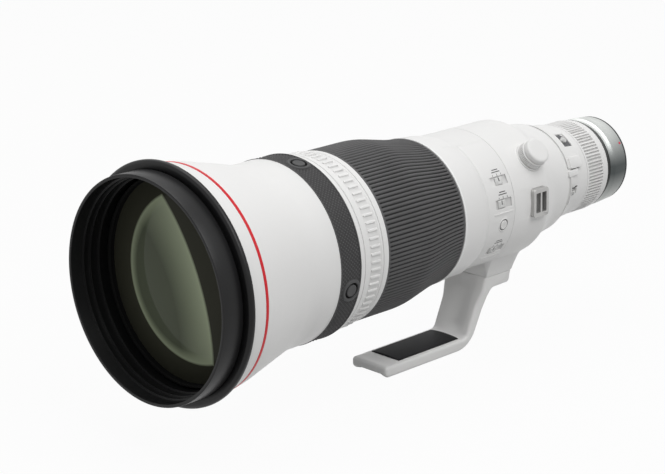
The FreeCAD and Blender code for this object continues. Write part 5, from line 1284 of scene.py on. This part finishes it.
@dataclass
class Collar:
    """Tripod collar with its foot, pad, strap lugs and lock knob.

    The knob's skirt and cap have a radius and a height. The foot's corners are a station, a height and a
    rounding, its scoop has half a width and a depth, and its hollows a width and a depth, each with the
    stations or heights between which it grows. The fairing's runs of stations and places across are a
    first value, a pitch and a count, and it reaches ahead of the block, behind it and beside it.
    """

    knob_station: float = 341.5
    knob_angle: float = 39.5
    knob_base: float = 53.5
    skirt: Pair = (10.8, 5.6)
    cap: Pair = (10.1, 5.0)
    cap_groove: float = 1.2
    rib_groups: int = 8
    group_ribs: int = 5
    group_share: float = 0.8
    rib_share: float = 0.4
    rib_depth: float = 0.4
    gap_depth: float = 0.15
    foot_outline: tuple[Triple, ...] = (
        (212.0, -106.0, 2.6), (301.5, -106.0, 5.0), (316.0, -72.0, 40.0), (319.6, -61.3, 0.0),
        (349.2, -61.3, 0.0), (347.6, -71.0, 3.4), (327.2, -71.4, 5.0), (306.0, -114.9, 22.0),
        (212.0, -114.9, 4.2))
    foot_half_width: float = 17.5
    block_half_width: float = 20.0
    block_flare: Pair = (-84.0, -70.0)
    foot_edge: float = 2.2
    scoop: Pair = (13.8, 3.2)
    scoop_front: float = 295.0
    scoop_foot: Pair = (-105.5, -97.0)
    scoop_head: Pair = (-72.0, -62.0)
    top_hollow: Pair = (231.0, 214.0)
    top_hollow_size: Pair = (34.0, 3.0)
    toe_hollow: Pair = (213.5, 229.0)
    toe_hollow_size: Pair = (36.0, 0.9)
    collar_outline: tuple[Pair, ...] = ((312.4, 52.5), (350.2, 52.5), (353.8, 51.8), (364.2, 47.4),
                                        (375.2, 44.7), (386.5, 43.1))
    fairing_stations: tuple[tuple[float, float, int], ...] = ((314.0, 0.5, 17), (323.0, 3.0, 9),
                                                              (348.5, 0.5, 52))
    fairing_places: tuple[tuple[float, float, int], ...] = ((-31.0, 0.5, 26), (-17.0, 2.0, 18),
                                                            (18.5, 0.5, 26))
    fairing_reach: Triple = (5.4, 22.0, 9.0)
    fairing_lap: float = 0.35
    fairing_wall: float = 1.6
    fairing_sink: float = 0.6

    def build(self) -> None:
        """Build the collar and everything that turns with it."""
        softened("tripod_collar", "white_tripod_collar", Body.COLLAR, WHITE_PAINT, 0.6)
        self.foot()
        self.fairing()
        softened("foot_pad", "rubber_foot_pad", Body.COLLAR, PAD_RUBBER, 0.5)
        for side in ("left", "right"):
            softened(f"strap_lug_{side}", f"{side}_strap_lug_frame", Body.COLLAR, LUG_METAL, 0.5)
        dress(BRASS, "collar_liner", "tripod_sockets")
        dress(STEEL, "foot_screws")
        self.knob()

    def foot(self) -> None:
        """Build the foot in one piece: its plate, its hollowed stalk and the block at its top."""
        Maker().sweep(filleted(self.foot_outline), self.half_width, self.foot_edge, self.dip).finish(
            "white_tripod_foot", Body.COLLAR, WHITE_PAINT, ["tripod_foot", "foot_stalk", "foot_block"],
            sharp=50.0)

    def half_width(self, station: float, height: float) -> float:
        """Return half the foot's width, which grows from the stalk to the block."""
        more = self.block_half_width - self.foot_half_width
        return self.foot_half_width + more * smooth(height, *self.block_flare)

    def dip(self, station: float, height: float, across: float, inward: Vector) -> float:
        """Return how deep the foot is hollowed at a place.

        Args:
            station: place along the lens.
            height: place above the axis.
            across: place to the side.
            inward: direction into the foot, as steps along the lens and up.

        Returns:
            The depth of the stalk's scoop, or of the hollows at the front of the plate.
        """
        reach, depth = self.scoop
        low = self.scoop_foot[0]
        if inward.x > 0.5 and height > low and station > self.scoop_front and abs(across) < reach:
            ends = smooth(height, *self.scoop_foot) * (1 - 0.6 * smooth(height, *self.scoop_head))
            return depth * ends * math.cos(math.pi * across / 2 / reach) ** 2
        if inward.y > 0.5 and station < self.top_hollow[0]:
            width, depth = self.top_hollow_size
            return depth * smooth(station, *self.top_hollow) * math.cos(math.pi * across / width) ** 2
        if inward.y < -0.5 and station < self.toe_hollow[1]:
            width, depth = self.toe_hollow_size
            along = math.sin(math.pi * smooth(station, *self.toe_hollow))
            return depth * along * math.cos(math.pi * across / width)
        return 0.0

    def fairing(self) -> None:
        """Build the fairing that flares from the round collar down to the block of the foot."""
        (front, height, _), (rear, _, _) = self.foot_outline[3:5]
        ahead, behind, beside = self.fairing_reach
        seat_depth = -height - self.fairing_lap
        stations = [station for run in self.fairing_stations for station in evenly(*run)]
        places = [place for run in self.fairing_places for place in evenly(*run)]
        outer, inner = [], []
        for station in stations:
            radius = radius_at(self.collar_outline, station)
            along = max(clamped((front + 0.3 - station) / ahead), clamped((station - rear) / behind))
            outer.append([])
            inner.append([])
            for across in places:
                aside = clamped((abs(across) - self.block_half_width) / beside)
                round_depth = math.sqrt(max(1.0, radius ** 2 - across ** 2))
                edge = station in (stations[0], stations[-1]) or across in (places[0], places[-1])
                drop = round_depth + (seat_depth - round_depth) * ((1 - along) * (1 - aside)) ** 3
                drop -= self.fairing_sink if edge else 0.0
                core = math.sqrt(max(1.0, (radius - self.fairing_wall) ** 2 - across ** 2))
                outer[-1].append(Vector((across, station - MOUNT_STATION, -drop)))
                inner[-1].append(Vector((across, station - MOUNT_STATION, -core)))
        borders = [(outer[end], inner[end]) for end in (0, -1)]
        borders += [([row[end] for row in outer], [row[end] for row in inner]) for end in (0, -1)]
        maker = Maker()
        for sheet in (outer, inner, *borders):
            maker.skin(sheet, False, False)
        maker.finish("collar_foot_fairing", Body.COLLAR, WHITE_PAINT, sharp=44.0)

    def knob(self) -> None:
        """Build the lock knob: a finely ribbed skirt with gaps, and a smooth cap."""
        here = seat(self.knob_station, self.knob_angle, self.knob_base)
        radius, height = self.skirt
        cap_radius, cap_height = self.cap

        def rib(along: float, reach: float, angle: float) -> float:
            """Return how much the ribs and gaps take off the radius.

            Args:
                along: height above the knob's foot.
                reach: the radius there.
                angle: place round the knob.

            Returns:
                The change of radius.
            """
            if not (0.7 < along < height - 0.7 and reach > radius - 0.6):
                return 0.0
            share = (angle / FULL_TURN * self.rib_groups) % 1.0
            if share > self.group_share:
                return -self.gap_depth
            within = (share / self.group_share * self.group_ribs) % 1.0
            return -self.rib_depth if within < self.rib_share else 0.0

        skirt = [(0.0, 0.0), (0.0, radius - 0.8), (0.6, radius), (0.75, radius), (2.6, radius),
                 (4.6, radius), (height - 0.75, radius), (height - 0.6, radius),
                 (height, radius - 0.7), (height, 0.0)]
        Maker().lathe(skirt, self.rib_groups * self.group_ribs * 8, here, rib).finish(
            "lock_knob_skirt", Body.KNOB, KNOB_PAINT, ["lock_knob"])
        top, neck = height + cap_height, cap_radius - self.cap_groove
        crown = [(height - 0.3, 0.0), (height - 0.3, neck), (height + 0.5, neck), (height + 0.6, cap_radius)]
        crown += [(top - down, cap_radius - narrower) for down, narrower in (
            (1.5, 0.0), (0.9, 0.18), (0.35, 0.7), (0.08, 1.5), (0.0, 2.6))]
        Maker().lathe(crown + [(top, 0.0)], 96, here).finish("lock_knob_cap", Body.KNOB, KNOB_PAINT)


@dataclass
class RearBarrel:
    """Rear barrel with the drop-in filter's cover and latch and the focus mode switch.

    The switch stands on a brow that leans back. A place on it is a station and a radius, a size a length,
    a width and a height, and a tick a station, an angle and a length. The thumb rest and the stop have a
    station, an angle and a radius, and a size.
    """

    latch_station: float = 405.4
    latch_angle: float = 55.0
    latch_floor: float = 37.0
    recess: tuple[Pair, ...] = ((-4.7, -3.2), (-2.2, -6.1), (4.6, -6.1), (4.6, 2.5), (1.4, 6.1), (-4.7, 6.1))
    recess_lift: float = 0.06
    recess_plate: float = 0.35
    latch_stem: tuple[Pair, ...] = ((0.1, 0.0), (0.1, 2.6), (1.9, 2.6), (2.4, 2.1), (2.2, 1.0), (2.15, 0.0))
    latch_lever: Triple = (5.2, 1.7, 1.6)
    lever_place: Pair = (-1.6, 1.0)
    switch_angle: float = -7.5
    brow_lean: float = 15.0
    brow_slope: float = 0.27
    floor_place: Pair = (397.9, 38.45)
    floor_size: Triple = (9.3, 4.3, 1.5)
    cap_place: Pair = (395.8, 40.53)
    cap_size: Triple = (4.0, 3.0, 1.35)
    ridges: Triple = (-0.4, 0.5, 1.4)
    ridge_lift: float = 1.32
    ridge_size: Triple = (0.4, 2.4, 0.22)
    index_place: Pair = (394.6, 42.2)
    index_size: Triple = (0.8, 2.5, 0.12)
    tick_place: Pair = (393.9, 42.6)
    tick_size: Pair = (0.7, 0.1)
    ticks: tuple[Triple, ...] = ((399.5, -1.2, 3.6), (396.2, -1.8, 2.6), (393.9, -1.2, 1.6))
    tab_lean: float = 8.0
    thumb_rest: tuple[Triple, Triple] = ((402.5, 25.2, 40.1), (16.5, 8.8, 1.15))
    stop: tuple[Triple, Triple] = ((396.6, 14.4, 40.7), (13.5, 4.8, 1.05))

    def build(self) -> None:
        """Build the rear barrel and the pieces on it."""
        softened("rear_barrel", "white_rear_barrel", Body.BARREL, WHITE_PAINT, 0.4)
        softened("filter_holder", "white_filter_cover", Body.HOLDER, WHITE_PAINT, 0.4)
        softened("rear_panel", "raised_rear_panel", Body.BARREL, PANEL_PAINT, 0.3)
        dress(INNER_GLASS, "filter_glass")
        self.latch()
        self.mode_switch()
        self.tab(*self.thumb_rest, 0.55).finish("filter_cover_thumb_rest", Body.HOLDER, WHITE_PAINT)
        self.tab(*self.stop, 0.5).finish("filter_cover_stop", Body.BARREL, WHITE_PAINT)

    def latch(self) -> None:
        """Build the dark plate in the latch recess and the latch's small lever."""
        station, angle, floor = self.latch_station, self.latch_angle, self.latch_floor
        Maker().plate(self.recess, seat(station, angle, floor + self.recess_lift), self.recess_plate).finish(
            "latch_recess_plate", Body.HOLDER, LATCH_GREY)
        back, lift = self.lever_place
        maker = Maker().lathe(eased(self.latch_stem, rounding=0.25), 48, seat(station, angle, floor))
        maker.bump(seat(station + back, angle, floor + lift), *self.latch_lever, ease=0.3, sink=0.0)
        maker.finish("latch_lever", Body.LATCH, LATCH_LEVER, ["filter_latch"])

    def on_brow(self, station: float, radius: float) -> Matrix:
        """Return the local frame at a place of the focus mode switch."""
        return seat(station, self.switch_angle, radius, self.brow_lean)

    def mode_switch(self) -> None:
        """Build the focus mode switch: its window floor, ribbed slider, index line and ticks."""
        Maker().bump(self.on_brow(*self.floor_place), *self.floor_size, ease=0.1, sink=0.0).finish(
            "focus_mode_floor", Body.BARREL, WINDOW)
        maker = Maker().bump(self.on_brow(*self.cap_place), *self.cap_size, ease=0.3, sink=0.0)
        station, radius = self.cap_place
        for shift in self.ridges:
            top = radius + self.ridge_lift - self.brow_slope * shift
            maker.bump(self.on_brow(station + shift, top), *self.ridge_size, ease=0.1)
        maker.finish("focus_mode_switch_cap", Body.FOCUS_MODE_SWITCH, SLIDER, ["focus_mode_switch"])
        Maker().bump(self.on_brow(*self.index_place), *self.index_size, ease=0.05, sink=0.1).finish(
            "focus_mode_index", Body.FOCUS_MODE_SWITCH, PRINT)
        ticks = Maker()
        first, radius = self.tick_place
        for station, angle, length in self.ticks:
            here = seat(station, angle, radius - self.brow_slope * (station - first), self.brow_lean)
            ticks.bump(here, length, *self.tick_size, ease=0.04, sink=0.6)
        ticks.finish("focus_mode_ticks", Body.BARREL, PRINT)

    def tab(self, place: Triple, size: Triple, ease: float) -> Maker:
        """Make a raised tab beside the filter's cover.

        Args:
            place: its station, angle and radius.
            size: its length, width and height.
            ease: width of its eased edge.

        Returns:
            The maker that holds it.
        """
        return Maker().bump(seat(*place, self.tab_lean), *size, bend=place[2], ease=ease, sink=1.5)


@dataclass
class MountEnd:
    """White trim, turned metal sleeve with its dark waist and red index, and the bayonet.

    The trim has a front, a rear and a radius, and the index dot's place is a station, an angle and a
    radius. The lip, the waist and the wide part of the sleeve have a distance from its front and a radius.
    """

    trim: Triple = (441.3, 446.3, 35.9)
    trim_bore: float = 33.6
    sleeve_gap: float = 0.02
    sleeve_end: float = 471.6
    sleeve_bore: float = 31.0
    lip: Pair = (1.6, 35.6)
    waist: Pair = (6.0, 33.75)
    wide_part: Pair = (10.0, 35.3)
    hollow_curve: float = 6.5
    mount_seat: tuple[Pair, ...] = ((469.5, 33.4), (469.5, 27.3), (460.5, 27.3), (460.5, 31.0))
    index_place: Triple = (468.6, 32.7, 34.55)
    index_dot: tuple[Pair, ...] = ((-0.6, 0.0), (-0.6, 1.05), (0.12, 1.05), (0.25, 0.8), (0.28, 0.0))

    def build(self) -> None:
        """Build the rear end."""
        front, rear, radius = self.trim
        trim = [(front, self.trim_bore), (front, radius), (rear, radius - 0.1), (rear, self.trim_bore)]
        Maker().lathe(eased(trim, rounding=0.4), SLEEVE_STEPS).finish(
            "white_rear_trim", Body.BARREL, WHITE_PAINT, ["rear_trim"])
        self.sleeve()
        Maker().lathe(eased(self.index_dot, rounding=0.1), 40, seat(*self.index_place)).finish(
            "red_index_dot", Body.BARREL, INDEX_RED)
        dress(BAYONET_METAL, "bayonet")
        dress(STEEL, "mount_screws")
        dress(CONTACT_PLASTIC, "contact_block")
        dress(GOLD, "contact_pins")
        dress(BUTTON, "mount_gasket")

    def sleeve(self) -> None:
        """Build the sleeve: a front lip, a dark waist and the wide rear part."""
        front = self.trim[1] + self.sleeve_gap
        lip, waist, wide = ((front + along, radius)
                            for along, radius in (self.lip, self.waist, self.wide_part))
        end, bore = self.sleeve_end, self.sleeve_bore
        outline = [(front, bore), (front, lip[1]), lip, *arc(lip, waist, self.hollow_curve, 8)[1:], waist,
                   (waist[0], bore)]
        Maker().lathe(eased(outline, rounding=0.25), SLEEVE_STEPS).finish(
            "sleeve_front_lip", Body.BARREL, WAIST_METAL)
        start = (waist[0], waist[1] - 0.05)
        outline = [(waist[0], bore), start, *arc(start, wide, self.hollow_curve, 8)[1:], wide,
                   (end - 1.2, 34.35), (end, 33.9), (end, 33.4), *self.mount_seat]
        Maker().lathe(eased(outline, rounding=0.25), SLEEVE_STEPS).finish(
            "turned_mount_sleeve", Body.BARREL, SLEEVE_METAL, ["mount_sleeve"])


def dress_inside() -> None:
    """Give the pieces inside the lens their finishes."""
    dress(LINING, "main_tube", "journal_tube", "focus_sleeve", "second_cell", "focus_cell", "iris_housing",
          "stabilizer_housing", "stabilizer_carriage", "stabilizer_cell", "rear_cell")
    dress(INNER_GLASS, "second_element", "focus_element", "stabilizer_element", "rear_element")
    dress(STEEL, "guide_rods", "focus_drive_ring", "iris_blades", "iris_ring")


@dataclass
class Studio:
    """Pale floor, soft lights and the camera, all in metres.

    A lamp has a name, a place, a size and a power. The floor's glow is how much of it the camera sees as
    plain white.
    """

    camera_place: Triple = (0.9548, -1.2566, 0.4206)
    camera_forward: Triple = (-0.6737, 0.6765, -0.2975)
    camera_right: Triple = (0.7086, 0.7056, 0.0)
    focal_length: float = 108.27
    sensor: float = 36.0
    view_depth: float = 60.0
    floor_height: float = -0.1152
    floor_size: float = 30.0
    floor_colour: Colour = (0.5, 0.5, 0.5)
    floor_roughness: float = 0.9
    floor_glow: float = 0.955
    sky_colour: Colour = (0.97, 0.985, 1.0)
    sky_strength: float = 0.265
    lamp_target: Triple = (0.0, -0.25, 0.0)
    lamps: tuple[tuple[str, Triple, float, float], ...] = (
        ("side_softbox", (1.45, -0.35, 1.75), 1.5, 33.0), ("top_softbox", (-0.5, -0.3, 1.9), 1.4, 18.0))

    def build(self) -> None:
        """Build the stage, the lights and the camera."""
        self.world()
        self.floor()
        for name, place, size, power in self.lamps:
            self.lamp(name, place, size, power)
        self.camera()

    def world(self) -> None:
        """Build a pale world that is white for the camera and softer as a light."""
        world = bpy.data.worlds.new("pale_studio")
        world.use_nodes = True
        wiring = Wiring(world.node_tree)
        ground = wiring.fill(wiring.nodes["Background"], {"Color": self.sky_colour,
                                                          "Strength": self.sky_strength})
        seen = wiring.add("ShaderNodeBackground", {"Color": (1.0, 1.0, 1.0), "Strength": 1.0})
        show(wiring, direct_ray(wiring), ground, seen, wiring.nodes["World Output"])
        bpy.context.scene.world = world

    def floor(self) -> None:
        """Build the floor, which keeps a faint shadow."""
        data = bpy.data.meshes.new("floor")
        half = self.floor_size / 2
        corners = [(-half, -half), (half, -half), (half, half), (-half, half)]
        data.from_pydata([(x, y, self.floor_height) for x, y in corners], [], [(0, 1, 2, 3)])
        plane = placed("floor", data)
        material = bpy.data.materials.new("pale_floor")
        material.use_nodes = True
        wiring = Wiring(material.node_tree)
        shader = wiring.fill(wiring.nodes["Principled BSDF"], {"Base Color": self.floor_colour,
                                                               "Roughness": self.floor_roughness})
        glow = wiring.add("ShaderNodeEmission", {"Strength": 1.0})
        share = wiring.number("MULTIPLY", direct_ray(wiring), self.floor_glow)
        show(wiring, share, shader, glow, wiring.nodes["Material Output"])
        data.materials.append(material)

    def lamp(self, name: str, place: Triple, size: float, power: float) -> None:
        """Add a square soft light that faces the lens.

        Args:
            name: its name.
            place: its place.
            size: length of its side.
            power: its power in watts.
        """
        light = bpy.data.lights.new(name, "AREA")
        light.shape = "SQUARE"
        light.size = size
        light.energy = power
        lamp = placed(name, light)
        lamp.location = place
        aim = Vector(self.lamp_target) - Vector(place)
        lamp.rotation_euler = aim.to_track_quat("-Z", "Y").to_euler()

    def camera(self) -> None:
        """Set the camera at the photograph's viewing angle."""
        data = bpy.data.cameras.new("camera")
        data.sensor_width = self.sensor
        data.lens = self.focal_length
        data.clip_end = self.view_depth
        right, forward = Vector(self.camera_right), Vector(self.camera_forward)
        turn = Matrix((right, right.cross(forward), -forward)).transposed().to_4x4()
        turn.translation = Vector(self.camera_place)
        eye = placed("camera", data)
        eye.matrix_world = turn
        bpy.context.scene.camera = eye


def direct_ray(wiring: Wiring) -> bpy.types.NodeSocket:
    """Tell the rays that show a thing from those that only light it.

    Args:
        wiring: the tree that asks.

    Returns:
        An output that is 1 for camera, glossy and transmission rays and 0 for the others.
    """
    path = wiring.add("ShaderNodeLightPath").outputs
    seen = wiring.number("MAXIMUM", path["Is Camera Ray"], path["Is Glossy Ray"])
    return wiring.number("MAXIMUM", seen, path["Is Transmission Ray"])


def show(wiring: Wiring, share: bpy.types.NodeSocket, plain: bpy.types.Node, seen: bpy.types.Node,
         output: bpy.types.Node) -> None:
    """Put a mix of two shaders on show.

    Args:
        wiring: the tree that they are in.
        share: share of the second shader.
        plain: the first shader.
        seen: the second shader.
        output: the node that shows them.
    """
    mix = wiring.add("ShaderNodeMixShader")
    for socket, value in zip(mix.inputs, (share, plain.outputs[0], seen.outputs[0])):
        wiring.feed(socket, value)
    wiring.feed(output.inputs["Surface"], mix.outputs[0])


def main() -> None:
    """Build the studio and the lens from front to rear."""
    logging.basicConfig(level=logging.INFO, format="%(name)s: %(message)s")
    bpy.context.scene.view_settings.view_transform = "Standard"
    Studio().build()
    for assembly in (FrontTube(), FrontBarrel(), Rings(), SwitchPanel(), Collar(), RearBarrel(),
                     MountEnd()):
        log.info("building %s", type(assembly).__name__)
        assembly.build()
    dress_inside()


if __name__ == "__main__":
    main()
